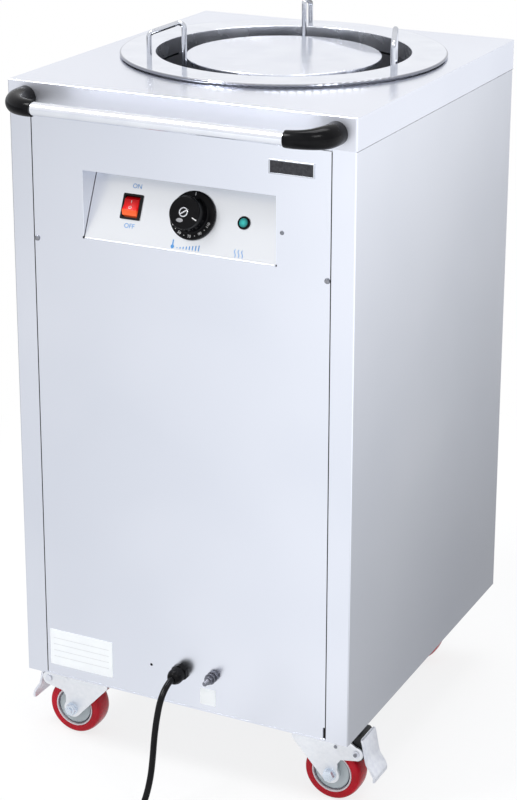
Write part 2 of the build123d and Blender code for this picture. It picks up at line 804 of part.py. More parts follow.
# ---------------------------------------------------------------- plate guides
rod_radius = guide_rod / 2
for label, (angle, swivel) in guides.items():
    hinge_x, hinge_y = polar(guide_circle, angle)
    way = radians(angle + 180.0 + swivel)
    with BuildPart() as guide:
        with BuildSketch(Plane.XY.offset(ceiling_z - running_gap - guide_collar_height)):
            with Locations((hinge_x, hinge_y)):
                Circle(rod_radius)
        with BuildLine() as guide_line:
            FilletPolyline(
                (hinge_x, hinge_y, ceiling_z - running_gap - guide_collar_height),
                (hinge_x, hinge_y, deck_height + guide_outer_rise - rod_radius),
                (hinge_x + guide_span * cos(way), hinge_y + guide_span * sin(way),
                 deck_height + guide_inner_rise - rod_radius),
                (hinge_x + guide_span * cos(way), hinge_y + guide_span * sin(way), deck_height - guide_reach),
                radius=guide_bend,
            )
        sweep()
        with BuildSketch(Plane.XY.offset(ceiling_z - running_gap - guide_collar_height)):
            with Locations((hinge_x, hinge_y)):
                Circle(guide_collar_radius)
        extrude(amount=guide_collar_height)
    save(guide, label)

# ---------------------------------------------------------------- handle
bar_y = front_y - handle_reach
bar_z = deck_height - handle_drop
mount_x = handle_half_bare + elbow_run
elbow_screw_hole = 12.0
with BuildPart() as handle_bar:
    with BuildSketch(Plane.YZ.offset(-handle_half_bare - socket_depth)):
        with Locations((bar_y, bar_z)):
            Circle(handle_bar_radius)
    extrude(amount=2 * (handle_half_bare + socket_depth))
save(handle_bar, "handle_bar")

# sections of an elbow: angle round its bend, radius
elbow_sections = [(0.0, elbow_end_radius), (25.0, elbow_end_radius + 0.9), (50.0, elbow_swell_radius - 1.2),
                  (72.0, elbow_swell_radius), (90.0, elbow_swell_radius + 0.2)]
for label, side in (("handle_elbow_left", -1), ("handle_elbow_right", 1)):
    with BuildPart() as elbow:
        for bend, radius in elbow_sections:
            turn = radians(bend)
            with BuildSketch(Plane(
                origin=(side * (handle_half_bare + elbow_run * sin(turn)),
                        bar_y + elbow_run * (1 - cos(turn)), bar_z),
                x_dir=(0, 0, 1),
                z_dir=(side * cos(turn), sin(turn), 0),
            )):
                Circle(radius)
        with BuildSketch(Plane(origin=(side * mount_x, front_y, bar_z), x_dir=(0, 0, 1), z_dir=(0, 1, 0))):
            Circle(elbow_foot_radius)
        loft()
        with BuildSketch(Plane(origin=(side * (handle_half_bare - 1.0), bar_y, bar_z), x_dir=(0, 0, 1),
                               z_dir=(side, 0, 0))):
            Circle(handle_bar_radius)
        extrude(amount=socket_depth + 1.0, mode=Mode.SUBTRACT)
        with BuildSketch(Plane(origin=(side * mount_x, front_y, bar_z), x_dir=(0, 0, 1), z_dir=(0, -1, 0))):
            Circle(handle_screw_radius)
        extrude(amount=elbow_screw_hole, mode=Mode.SUBTRACT)
    save(elbow, label)

# ---------------------------------------------------------------- screws and rivet
screw_length = 10.0
screw_head_height = 1.6
handle_head_height = 3.0
handle_screw_bite = 11.0     # handle screws past the sheets, into the elbows
rivet_radius = 2.6
rivet_rise = 0.9
with BuildPart() as body_screws:
    for side in (-1, 1):
        with BuildSketch(Plane(origin=(side * mount_x, panel_face_y + sheet, bar_z), z_dir=(0, 1, 0))):
            Circle(1.6 * handle_screw_radius)
        extrude(amount=handle_head_height)
        with BuildSketch(Plane(origin=(side * mount_x, panel_face_y + sheet, bar_z), z_dir=(0, -1, 0))):
            Circle(handle_screw_radius)
        extrude(amount=2 * sheet + handle_screw_bite)
        with BuildSketch(front_plane().shift_origin((side * panel_screw_x, panel_face_y,
                                                     deck_height - panel_screw_drop))):
            Circle(screw_head_radius)
        extrude(amount=screw_head_height, taper=18)
        with BuildSketch(front_plane().shift_origin((side * panel_screw_x, panel_face_y,
                                                     deck_height - panel_screw_drop))):
            Circle(screw_shank_radius)
        extrude(amount=-screw_length)
    with BuildSketch(front_plane().shift_origin((rivet_x, panel_face_y, deck_height - rivet_drop))):
        Circle(rivet_radius)
    extrude(amount=rivet_rise, taper=20)
    with BuildSketch(front_plane().shift_origin((rivet_x, panel_face_y, deck_height - rivet_drop))):
        Circle(screw_shank_radius)
    extrude(amount=-3 * sheet)
save(body_screws, "body_screws")

# ---------------------------------------------------------------- plaque, labels
with BuildPart() as badge_plaque:
    with BuildSketch(front_plane()):
        with Locations((badge_x, deck_height - badge_drop)):
            RectangleRounded(badge_length, badge_height, 1.5)
    extrude(amount=badge_thickness)
save(badge_plaque, "badge_plaque")

with BuildPart() as labels:
    with BuildSketch(front_plane()):
        with Locations((rating_x, rating_z)):
            Rectangle(rating_length, rating_height)
        with Locations((sticker_x, sticker_z)):
            Rectangle(sticker_length, sticker_height)
    extrude(amount=label_thickness)
save(labels, "labels")

# ---------------------------------------------------------------- gland and earth stud
gland_plane = front_plane().shift_origin((gland_x, panel_face_y, gland_z))
locknut_length = 6.0
thread_past_nut = 4.0
with BuildPart() as cord_gland:
    with BuildSketch(gland_plane):
        RegularPolygon(gland_hex / 2, 6, major_radius=False)
    extrude(amount=gland_hex_length)
    turned(gland_plane, [
        (0, gland_hex_length),
        (gland_dome_radius, gland_hex_length),
        (gland_dome_radius, gland_length * 0.68),
        (gland_dome_radius - 1.6, gland_length * 0.84),
        (gland_nose_radius + 1.6, gland_length - 1.2),
        (gland_nose_radius, gland_length),
        (0, gland_length),
    ])
    with BuildSketch(gland_plane):
        Circle(gland_thread_radius)
    extrude(amount=-sheet - locknut_length - thread_past_nut)
    with BuildSketch(gland_plane.offset(-sheet)):
        RegularPolygon(gland_hex / 2, 6, major_radius=False)
    extrude(amount=-locknut_length)
save(cord_gland, "cord_gland")

earth_plane = front_plane().shift_origin((earth_x, panel_face_y, earth_z))
washer_thickness = 1.6
nut_flats = 10.0
nut_height = 5.0
earth_length = 2 * (washer_thickness + nut_height) + earth_free_length
with BuildPart() as earth_stud:
    with BuildSketch(earth_plane.offset(-sheet - nut_height)):
        Circle(earth_radius)
    extrude(amount=earth_length + sheet + nut_height)
    for level in (0.0, washer_thickness + nut_height):
        with BuildSketch(earth_plane.offset(level)):
            Circle(1.1 * nut_flats / 2 + 1.5)
        extrude(amount=washer_thickness)
        with BuildSketch(earth_plane.offset(level + washer_thickness)):
            RegularPolygon(nut_flats / 2, 6, major_radius=False)
        extrude(amount=nut_height)
    with BuildSketch(earth_plane.offset(-sheet)):
        RegularPolygon(nut_flats / 2, 6, major_radius=False)
    extrude(amount=-nut_height)
save(earth_stud, "earth_stud")

# ---------------------------------------------------------------- mains cord
cord_exit_y = panel_face_y - gland_length
coil_start_y = cord_exit_y - 153.0
coil_start_x = -4.0
cord_points = [
    (gland_x, cord_exit_y, gland_z),
    (gland_x, cord_exit_y - 10.0, gland_z),
    (gland_x, cord_exit_y - 28.0, 140.0),
    (gland_x, cord_exit_y - 38.0, 120.0),
    (-2.2, cord_exit_y - 45.0, 96.0),
    (-2.4, cord_exit_y - 49.0, 70.0),
    (-2.8, cord_exit_y - 55.0, 43.0),
    (-3.4, cord_exit_y - 69.0, 19.0),
    (coil_start_x, cord_exit_y - 91.0, cord_radius),
    (coil_start_x, coil_start_y, cord_radius),
]


def route_radii(points):
    """The largest tangent arc that the two runs beside each inner point allow."""
    radii = []
    for before, here, after in zip(points, points[1:], points[2:]):
        first = Vector(*here) - Vector(*before)
        second = Vector(*after) - Vector(*here)
        turn = radians(first.get_angle(second))
        radii.append(0.45 * min(first.length, second.length) / tan(turn / 2))
    return radii


cord_radii = route_radii(cord_points)
with BuildPart() as cord_lead:
    with BuildLine() as lead_line:
        FilletPolyline(*cord_points, radius=cord_radii)
    lead_wire = lead_line.wires()[0]
    with BuildSketch(Plane(origin=lead_wire @ 0, z_dir=lead_wire % 0)):
        Circle(cord_radius)
    sweep(path=lead_wire)
save(cord_lead, "cord_lead")
lead_length = lead_wire.length
print("cord radii", [round(radius, 1) for radius in cord_radii])
print("lead volume", round(cord_lead.part.volume), "expected", round(pi * cord_radius ** 2 * lead_length))

# the rest of the cord: two flat layers of turns on the floor, in to the middle and out again
coil_centre = (coil_start_x + coil_outer_radius, coil_start_y - 2 * cord_radius)
coil_inner_radius = coil_outer_radius - coil_pitch * coil_layer_turns
coil_turns = 2 * coil_layer_turns + 0.5


def coil_point(t):
    turned_by = coil_turns * t
    past = turned_by - coil_layer_turns
    if past < 0:
        radius = coil_outer_radius - coil_pitch * turned_by
        climb = 0.0
    elif past < 0.5:
        radius = coil_inner_radius - coil_pitch * (past - 2 * past * past)
        climb = (2 * past) ** 2 * (3 - 4 * past)
    else:
        radius = coil_inner_radius + coil_pitch * (past - 0.5)
        climb = 1.0
    angle = pi + 2 * pi * turned_by
    return (coil_centre[0] + radius * cos(angle), coil_centre[1] + radius * sin(angle),
            cord_radius + coil_step * climb)


coil_edges = wound_line(coil_point, round(4 * coil_turns), (Vector(0, -1, 0), Vector(0, -1, 0)))
coil_first = Vector(*coil_point(0.0))
coil_last = Vector(*coil_point(1.0))
straight_end = Vector(0, 2 * cord_radius, 0)
tail_end = coil_last - Vector(0, cord_tail, 0)
with BuildPart() as cord_coil:
    coil_line = Wire(
        [Edge.make_line(coil_first + straight_end, coil_first)]
        + coil_edges
        + [Edge.make_line(coil_last, tail_end)]
    )
    with BuildSketch(Plane(origin=coil_line @ 0, z_dir=coil_line % 0)):
        Circle(cord_radius)
    sweep(path=coil_line)
save(cord_coil, "cord_coil")


def self_gap(point_at, turns, section_radius, per_turn=72):
    """Least distance between a winding's turns, less the section."""
    count = int(turns * per_turn)
    points = [point_at(i / count) for i in range(count + 1)]
    least = 1e9
    for i, first in enumerate(points):
        for second in points[i + per_turn // 2:]:
            least = min(least, sum((a - b) ** 2 for a, b in zip(first, second)))
    return sqrt(least) - 2 * section_radius


print("coil gap", round(self_gap(coil_point, coil_turns, cord_radius), 2),
      "spring gap", round(self_gap(spring_point, spring_turns, spring_wire / 2), 2))
print("cord length", round(lead_length + coil_line.length),
      "coil volume", round(cord_coil.part.volume), "expected", round(pi * cord_radius ** 2 * coil_line.length))

# plug: lies on the floor beside the coil
plug_plane = Plane(origin=tail_end, x_dir=(1, 0, 0), z_dir=(0, -1, 0))
plug_taper = 15.0
plug_full_height = 2 * (cord_radius + coil_step)
with BuildPart() as plug_body:
    with BuildSketch(plug_plane):
        RectangleRounded(0.45 * plug_width, 0.6 * plug_full_height, 0.2 * plug_width)
    with BuildSketch(plug_plane.offset(plug_taper)):
        RectangleRounded(plug_width, plug_full_height, 0.28 * plug_width)
    loft()
    with BuildSketch(plug_plane.offset(plug_taper)):
        RectangleRounded(plug_width, plug_full_height, 0.28 * plug_width)
    extrude(amount=plug_length - plug_taper)
    with BuildSketch(plug_plane.offset(plug_length)):
        with GridLocations(pin_spacing, 0, 2, 1):
            Circle(pin_radius)
    extrude(amount=-pin_length / 3, mode=Mode.SUBTRACT)
save(plug_body, "plug_body")

with BuildPart() as plug_pins:
    with BuildSketch(plug_plane.offset(plug_length - pin_length / 3)):
        with GridLocations(pin_spacing, 0, 2, 1):
            Circle(pin_radius)
    extrude(amount=pin_length * 4 / 3)
save(plug_pins, "plug_pins")

# ---------------------------------------------------------------- heating element
element_z = body_bottom + sheet + element_lift
with BuildPart() as heating_element:
    with BuildSketch(Plane(origin=(0, well_y, element_z), x_dir=(1, 0, 0), z_dir=(0, -1, 0))):
        with Locations((element_radius, 0)):
            Circle(element_rod / 2)
    revolve(axis=Axis((0, well_y, 0), (0, 0, 1)), revolution_arc=340)
    with BuildSketch(Plane.XY.offset(body_bottom + sheet)):
        with Locations(*[polar(element_radius, angle) for angle in (20, 100, 180, 260, 330)]):
            Circle(element_leg / 2)
    extrude(amount=element_lift)
save(heating_element, "heating_element")

# ---------------------------------------------------------------- casters
plate_under_z = body_bottom - caster_plate_thickness
crown_under_z = fork_top - fork_sheet
race_bottom_z = plate_under_z - race_height
bolt_flats = 13.0
bolt_head = 5.3
bolt_nut = 6.5
bolt_past_sheet = 10.0
plate_corner = 6.0
kingpin_washer = 3.4         # thickness of the head that holds the fork's crown
with BuildPart() as caster_plates:
    for name, x, y, direction, brake in caster_corners():
        with BuildSketch(Plane.XY.offset(plate_under_z)):
            with Locations((x, y)):
                RectangleRounded(caster_plate_length, caster_plate_width, plate_corner)
                with GridLocations(bolt_spacing_x, bolt_spacing_y, 2, 2):
                    Circle(bolt_radius, mode=Mode.SUBTRACT)
        extrude(amount=caster_plate_thickness)
        with BuildSketch(Plane.XY.offset(race_bottom_z)):
            with Locations((x, y)):
                Circle(race_radius)
        extrude(amount=race_height)
        with BuildSketch(Plane.XY.offset(crown_under_z - running_gap - kingpin_washer)):
            with Locations((x, y)):
                Circle(1.8 * kingpin_radius)
        extrude(amount=kingpin_washer)
        with BuildSketch(Plane.XY.offset(crown_under_z - running_gap - 1.0)):
            with Locations((x, y)):
                Circle(kingpin_radius)
        extrude(amount=race_bottom_z - crown_under_z + running_gap + 2.0)
save(caster_plates, "caster_plates")

with BuildPart() as caster_bolts:
    for x, y in caster_bolt_places():
        with BuildSketch(Plane.XY.offset(plate_under_z)):
            with Locations((x, y)):
                RegularPolygon(bolt_flats / 2, 6, major_radius=False)
        extrude(amount=-bolt_head)
        with BuildSketch(Plane.XY.offset(plate_under_z)):
            with Locations((x, y)):
                Circle(bolt_radius)
        extrude(amount=caster_plate_thickness + sheet + bolt_past_sheet)
        with BuildSketch(Plane.XY.offset(body_bottom + sheet)):
            with Locations((x, y)):
                RegularPolygon(bolt_flats / 2, 6, major_radius=False)
        extrude(amount=bolt_nut)
save(caster_bolts, "caster_bolts")

hub_boss_radius = 12.0
ear_radius = 9.0
axle_past_fork = 4.0
axle_end = 6.0               # threaded end beyond the bolt's nut side
axle_washer = 1.6
brake_travel = 25.0
pivot_pin_radius = 3.0
fork_rivet_place = (32.5, 77.5)
fork_rivet_rise = 0.8
wheel_from_pivot = sqrt((brake_pivot_u - trail) ** 2 + (brake_pivot_z - wheel_radius) ** 2)
shoe_reach = wheel_from_pivot - wheel_radius - 0.4
wheel_bearing = degrees(atan2(wheel_radius - brake_pivot_z, trail - brake_pivot_u))
shoe_angle = radians(wheel_bearing + brake_travel)
shoe_toe = (brake_pivot_u + shoe_reach * cos(shoe_angle), brake_pivot_z + shoe_reach * sin(shoe_angle))
fork_back = -27.0            # fork's back edge, from the swivel axis
fork_outline = {             # (distance behind the swivel axis, height); the hub boss is added
    True: [(fork_back, fork_top), (fork_back, 76.0), (16.6, 28.8), (34.5, 30.0), (34.5, 54.0), (39.0, 60.5),
           (brake_pivot_u, brake_pivot_z - ear_radius), (brake_pivot_u, brake_pivot_z + ear_radius),
           (50.0, fork_top)],
    False: [(fork_back, fork_top), (fork_back, 76.0), (16.6, 28.8), (34.5, 30.0), (35.5, 62.0),
            (40.0, fork_top)],
}
pedal_outer = [(68.0, 94.0), (70.0, 86.0), (73.0, 70.0), (75.0, 62.0), (82.0, 52.0), (85.0, 46.0), (84.5, 40.0)]

for name, x, y, direction, brake in caster_corners():
    side_plane = Plane(origin=(x, y, 0), x_dir=(direction, 0, 0), z_dir=(0, -direction, 0))
    wheel_plane = side_plane.shift_origin((x + direction * trail, y, wheel_radius))
    slot = fork_half_width - fork_sheet

    with BuildPart() as fork:
        with BuildSketch(side_plane):
            with BuildLine():
                Polyline(*fork_outline[brake], close=True)
            make_face()
            with Locations((trail, wheel_radius)):
                Circle(hub_boss_radius)
            if brake:
                with Locations((brake_pivot_u, brake_pivot_z)):
                    Circle(ear_radius)
        extrude(amount=fork_half_width, both=True)
        with BuildSketch(side_plane):
            with Locations((brake_pivot_u / 2, crown_under_z / 2)):
                Rectangle(4 * brake_pivot_u, crown_under_z)
            with Locations((brake_pivot_u + 40.0, crown_under_z)):
                Rectangle(115.0, crown_under_z)
        extrude(amount=slot, both=True, mode=Mode.SUBTRACT)
        with BuildSketch(Plane.XY.offset(fork_top)):
            with Locations((x, y)):
                Circle(0.8 * race_radius)
        extrude(amount=race_bottom_z - running_gap - fork_top)
        with BuildSketch(Plane.XY.offset(crown_under_z)):
            with Locations((x, y)):
                Circle(kingpin_radius + pivot_clearance)
        extrude(amount=race_bottom_z - crown_under_z, mode=Mode.SUBTRACT)
        with BuildSketch(wheel_plane):
            Circle(axle_radius)
        extrude(amount=fork_half_width, both=True, mode=Mode.SUBTRACT)
        if brake:
            with BuildSketch(side_plane):
                with Locations((brake_pivot_u, brake_pivot_z)):
                    Circle(pivot_pin_radius + pivot_clearance)
            extrude(amount=fork_half_width, both=True, mode=Mode.SUBTRACT)
            for face in (-1, 1):
                with BuildSketch(side_plane.offset(face * fork_half_width)):
                    with Locations(fork_rivet_place):
                        Circle(rivet_radius)
                extrude(amount=face * fork_rivet_rise)
    save(fork, f"{name}_fork")

    with BuildPart() as axle:
        with BuildSketch(wheel_plane):
            Circle(axle_radius)
        extrude(amount=fork_half_width + axle_past_fork, both=True)
        for face in (-1, 1):
            with BuildSketch(wheel_plane.offset(face * (wheel_width / 2 + running_gap - 0.3))):
                Circle(1.6 * axle_radius)
            extrude(amount=face * (slot - wheel_width / 2 - running_gap + 0.3))
            with BuildSketch(wheel_plane.offset(face * fork_half_width)):
                Circle(2.1 * axle_radius)
            extrude(amount=face * axle_washer)
            with BuildSketch(wheel_plane.offset(face * (fork_half_width + axle_washer))):
                RegularPolygon(bolt_flats / 2, 6, major_radius=False)
            extrude(amount=face * bolt_head)
        with BuildSketch(wheel_plane.offset(-fork_half_width - axle_past_fork)):
            Circle(axle_radius)
        extrude(amount=-axle_end)
    save(axle, f"{name}_axle")

    half = wheel_width / 2
    with BuildPart() as wheel_core:
        one_side = [(axle_radius + pivot_clearance, half - running_gap), (hub_radius, half - running_gap),
                    (hub_radius, half - 3.5), (core_radius - 4.9, half - 3.0), (core_radius - 3.4, half - 2.0),
                    (core_radius - 3.0, half - 4.5), (core_radius - 1.8, half - 4.5),
                    (core_radius - 1.8, half - 0.2), (core_radius, half)]
        turned(wheel_plane, one_side + [(r, -w) for r, w in reversed(one_side)])
    save(wheel_core, f"{name}_wheel_core")

    with BuildPart() as tread:
        tread_side = [(core_radius, half), (tread_side_radius, half), (35.6, half - 1.4), (36.8, half - 4.0),
                      (wheel_radius, half - 7.5)]
        turned(wheel_plane, tread_side + [(r, -w) for r, w in reversed(tread_side)])
    save(tread, f"{name}_tread")

    if brake:
        with BuildPart() as pedal:
            with BuildSketch(side_plane):
                with BuildLine():
                    Polyline(*pedal_outer, *[(u - pedal_sheet, h - 0.5) for u, h in reversed(pedal_outer)],
                             close=True)
                make_face()
            extrude(amount=pedal_half_width, both=True)
            # friction block between the ears, with the toe that meets the tread
            with BuildSketch(side_plane):
                with BuildLine():
                    Polyline((50.0, 84.0), (50.0, 96.0), (62.0, 96.0), (65.5, 93.0), (67.6, 85.0), (70.6, 69.0),
                             (62.0, 62.5), shoe_toe, (52.0, 73.0), close=True)
                make_face()
            extrude(amount=slot - 1.0, both=True)
            with BuildSketch(side_plane):
                with Locations((brake_pivot_u, brake_pivot_z)):
                    Circle(pivot_pin_radius)
            extrude(amount=fork_half_width + running_gap + 1.0, both=True)
            for face in (-1, 1):
                with BuildSketch(side_plane.offset(face * (fork_half_width + running_gap))):
                    with Locations((brake_pivot_u, brake_pivot_z)):
                        Circle(1.5 * pivot_pin_radius)
                extrude(amount=face * 1.2)
        save(pedal, f"{name}_brake_pedal")
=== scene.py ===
# %% [markdown]
# # A plate dispenser cart, dressed in Blender
#
# The CAD part comes as model.glb. This lesson loads it as a fixed frame, lays the mains cord,
# models the small pieces that a machined solid leaves plain, gives every surface its finish, and
# lights the cart as on a white studio floor.

# %% Load the imported frame
import bpy
from math import atan2, cos, sin, pi, radians, sqrt
from mathutils import Matrix, Vector


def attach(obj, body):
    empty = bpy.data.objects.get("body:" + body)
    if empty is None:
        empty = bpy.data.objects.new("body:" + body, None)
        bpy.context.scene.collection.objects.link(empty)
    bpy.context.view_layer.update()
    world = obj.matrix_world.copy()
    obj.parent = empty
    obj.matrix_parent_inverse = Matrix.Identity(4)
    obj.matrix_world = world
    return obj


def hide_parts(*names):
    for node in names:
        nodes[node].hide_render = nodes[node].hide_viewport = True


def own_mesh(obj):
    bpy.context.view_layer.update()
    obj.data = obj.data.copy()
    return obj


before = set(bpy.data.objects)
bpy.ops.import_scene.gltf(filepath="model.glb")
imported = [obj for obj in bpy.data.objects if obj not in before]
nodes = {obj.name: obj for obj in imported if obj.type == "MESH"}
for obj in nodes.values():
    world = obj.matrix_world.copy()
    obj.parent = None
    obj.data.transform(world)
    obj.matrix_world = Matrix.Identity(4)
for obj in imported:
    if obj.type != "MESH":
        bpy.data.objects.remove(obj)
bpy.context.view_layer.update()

# %% [markdown]
# ## The camera
#
# The photograph was taken from the cart's right, well above the deck. Its place, its turn and its
# lens were solved from the straight edges of the cabinet, so they are only written down here. The
# picture is higher than wide, so Blender's sensor width of 36 mm belongs to the height.

# %% Set the camera
bpy.ops.object.camera_add(location=(1.127485, -2.275891, 1.401587),
                          rotation=(radians(72.7407), radians(-0.2488), radians(25.8901)))
camera = bpy.context.active_object
camera.name = "product_camera"
camera.data.sensor_width = 36.0
camera.data.lens = 95.2552
camera.data.shift_x = -0.02786
camera.data.shift_y = -0.16512
camera.data.clip_start = 0.05
camera.data.clip_end = 60.0
bpy.context.scene.camera = camera
print("camera", [round(v, 3) for v in camera.location], "lens", camera.data.lens)

# %% [markdown]
# ## The mains cord
#
# A mains cord leaves its gland straight, bends over under its own weight and reaches the floor in one
# easy curve. So does a NURBS curve, which is pulled towards its points and has no corner. The points
# are the route that the CAD tube follows, and the coil's turns are more points of the same spline.

# %% Lay the cord
panel_face_y = -0.21885
gland_x, gland_z, gland_length = -0.0020, 0.1518, 0.023
cord_radius = 0.004
exit_y = panel_face_y - gland_length
cord_route = [(gland_x, exit_y, gland_z), (gland_x, exit_y - 0.010, gland_z),
              (gland_x, exit_y - 0.028, 0.140), (gland_x, exit_y - 0.038, 0.120),
              (-0.0022, exit_y - 0.045, 0.096), (-0.0024, exit_y - 0.049, 0.070),
              (-0.0028, exit_y - 0.055, 0.043),
              (-0.0034, exit_y - 0.069, 0.019), (-0.004, exit_y - 0.091, cord_radius),
              (-0.004, exit_y - 0.153, cord_radius)]
coil_centre = (0.052, exit_y - 0.161)
coil_outer = 0.056
coil_pitch = 0.009
coil_step = 0.0087
layer_turns = 2.75
per_turn = 16
coil_points = int((2 * layer_turns + 0.5) * per_turn)
for i in range(coil_points + 1):
    turned_by = i / per_turn
    past = turned_by - layer_turns
    inner = coil_outer - coil_pitch * layer_turns
    if past < 0:
        radius, climb = coil_outer - coil_pitch * turned_by, 0.0
    elif past < 0.5:
        radius, climb = inner - coil_pitch * (past - 2 * past * past), (2 * past) ** 2 * (3 - 4 * past)
    else:
        radius, climb = inner + coil_pitch * (past - 0.5), 1.0
    angle = pi + 2 * pi * turned_by
    cord_route.append((coil_centre[0] + radius * cos(angle), coil_centre[1] + radius * sin(angle),
                       cord_radius + coil_step * climb))
tail_x, tail_y, tail_z = cord_route[-1]
plug_y = tail_y - 0.054
cord_route += [(tail_x, tail_y - 0.030, tail_z), (tail_x, plug_y, tail_z)]


def new_curve(name, kind):
    """An empty round curve with closed ends: its object and its one spline."""
    curve = bpy.data.curves.new(name, "CURVE")
    curve.dimensions = "3D"
    curve.use_fill_caps = True
    made = bpy.data.objects.new(name, curve)
    bpy.context.scene.collection.objects.link(made)
    return made, curve.splines.new(kind)


mains_cord, spline = new_curve("mains_cord", "NURBS")
spline.points.add(len(cord_route) - 1)
for point, place in zip(spline.points, cord_route):
    point.co = (*place, 1.0)
    point.radius = cord_radius
spline.order_u = 3
spline.use_endpoint_u = True
mains_cord.data.resolution_u = 6
mains_cord.data.bevel_depth = 1.0
mains_cord.data.bevel_resolution = 6
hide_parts("cord_lead", "cord_coil")
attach(mains_cord, "cart")
print("cord points", len(cord_route))

# %% [markdown]
# ## Small helpers
#
# Most operators act on whatever is selected, so a helper clears the selection and picks the pieces it
# needs. A new primitive comes selected by itself. The face of a sloping panel gets a small frame of
# its own: x to the right, y up the slope and z out of it. A piece is modelled flat at the origin and
# its place is then applied, so that its mesh, and not its object, holds the place.

# %% Helpers for picking and placing
def pick(*pieces):
    """Select only these pieces; the first becomes the active one."""
    bpy.ops.object.select_all(action="DESELECT")
    for piece in pieces:
        piece.select_set(True)
    bpy.context.view_layer.objects.active = pieces[0]
    return pieces[0]


def settle(piece, place):
    """Move a piece to its place and apply that, so that the place is in its mesh."""
    pick(piece)
    piece.matrix_world = place
    bpy.ops.object.transform_apply(location=True, rotation=True, scale=True)
    return piece


def plane_at(origin, z_way=(0, -1, 0)):
    """The matrix of a face whose x runs to the right: its origin and the direction out of it."""
    x_axis = Vector((1, 0, 0))
    z_axis = Vector(z_way).normalized()
    y_axis = z_axis.cross(x_axis)
    turn = Matrix((x_axis, y_axis, z_axis)).transposed().to_4x4()
    return Matrix.Translation(origin) @ turn


def edit(selection="SELECT"):
    """Edit the active piece, with all or nothing of it selected."""
    bpy.ops.object.mode_set(mode="EDIT")
    bpy.ops.mesh.select_all(action=selection)


def leave_edit():
    """Go back to object mode."""
    bpy.ops.object.mode_set(mode="OBJECT")


def block(size, rise=0.0):
    """A box with its middle raised from the origin."""
    bpy.ops.mesh.primitive_cube_add(size=1.0, scale=size, location=(0, 0, rise))
    bpy.ops.object.transform_apply(location=True, rotation=False, scale=True)
    return bpy.context.active_object


def add_modifier(piece, kind, **settings):
    """Add one modifier and set it; nothing is applied yet."""
    modifier = piece.modifiers.new(kind.lower(), kind)
    for setting, value in settings.items():
        setattr(modifier, setting, value)
    return modifier


def apply_modifiers(piece):
    """Apply all of a piece's modifiers, in their order."""
    pick(piece)
    for modifier in list(piece.modifiers):
        bpy.ops.object.modifier_apply(modifier=modifier.name)
    return piece


def smooth(piece, degrees=35, finish=None):
    """Smooth shading, with edges kept where faces meet at more than this angle, and a finish if given."""
    if finish:
        piece.data.materials.append(finish)
    pick(piece)
    bpy.ops.object.shade_smooth_by_angle(angle=radians(degrees))
    add_modifier(piece, "WEIGHTED_NORMAL", mode="FACE_AREA_WITH_ANGLE", weight=50, keep_sharp=True)
    return apply_modifiers(piece)


def belongs(piece, body, slot_name, *stands_for):
    """Attach a finished piece to the body it rides on and hide the nodes it stands for; slot_name is not
    used.
    """
    if stands_for:
        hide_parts(*stands_for)
    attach(piece, body)
    print("made", piece.name, "faces", len(piece.data.polygons))
    return piece


lean = radians(23.5)
up_slope = Vector((0.0, sin(lean), cos(lean)))
out_of_slope = Vector((0.0, -cos(lean), sin(lean)))
fascia_foot = Vector((0.0, -0.21785, 0.6935))


def on_fascia(x, up, out=0.0):
    """A frame on the sloping fascia: distances to the right, up the slope and out of it."""
    origin = fascia_foot + Vector((x, 0, 0)) + up_slope * up + out_of_slope * out
    return plane_at(origin, out_of_slope)


def on_front(x, z, out=0.0):
    """A frame on the upright front panel."""
    return plane_at((x, panel_face_y - out, z))


print("fascia normal", [round(v, 4) for v in out_of_slope])

# %% [markdown]
# ## Turned shapes
#
# A knob, a wheel or a lens is a profile turned about an axis. In edit mode one vertex is extruded from
# point to point along the profile and the Spin operator sweeps it round. Spinning leaves a doubled
# seam and may turn the faces inwards, so the doubles are merged and the normals are recalculated.

# %% A turned piece
def turned(name, outline, steps=96):
    """Turn a profile of (radius, height) points about the z axis."""
    bpy.ops.mesh.primitive_plane_add(size=0.002)
    piece = bpy.context.active_object
    piece.name = piece.data.name = name
    edit()
    bpy.ops.mesh.merge(type="CENTER")
    bpy.ops.transform.translate(value=(outline[0][0], 0.0, outline[0][1]))
    for before, after in zip(outline, outline[1:]):
        step = (after[0] - before[0], 0.0, after[1] - before[1])
        bpy.ops.mesh.extrude_region_move(TRANSFORM_OT_translate={"value": step})
    bpy.ops.mesh.select_all(action="SELECT")
    bpy.ops.mesh.spin(steps=steps, angle=2 * pi, center=(0, 0, 0), axis=(0, 0, 1))
    bpy.ops.mesh.select_all(action="SELECT")
    bpy.ops.mesh.remove_doubles(threshold=1e-6)
    bpy.ops.mesh.normals_make_consistent(inside=False)
    leave_edit()
    return piece


def rounded(outline, radius, bits=4):
    """Round the inner corners of a profile with short arcs."""
    made = [outline[0]]
    for before, here, after in zip(outline, outline[1:], outline[2:]):
        a, b, c = (Vector((*p, 0.0)) for p in (before, here, after))
        cut = min(radius, 0.45 * (a - b).length, 0.45 * (c - b).length)
        first = b + (a - b).normalized() * cut
        last = b + (c - b).normalized() * cut
        for i in range(bits + 1):
            t = i / bits
            spot = first * (1 - t) ** 2 + b * 2 * t * (1 - t) + last * t ** 2
            made.append((spot.x, spot.y))
    made.append(outline[-1])
    return made


print("turned pieces are ready")

# %% [markdown]
# ## How the finishes are built
#
# Every finish starts from a Principled shader. What is the same all over, such as how metallic it is,
# is typed into the shader's own socket. What varies, such as brushing or grain, comes from noise that
# is read at the Object coordinates, so it keeps its size in metres and stays on the piece in any view.

# %% Helpers for finishes
def new_finish(name, **sockets):
    """A material with its Principled shader; the sockets are set by their names, with _ for a space."""
    finish = bpy.data.materials.new(name)
    finish.use_nodes = True
    shader = finish.node_tree.nodes["Principled BSDF"]
    for socket, value in sockets.items():
        shader.inputs[socket.replace("_", " ")].default_value = value
    return finish, finish.node_tree, shader


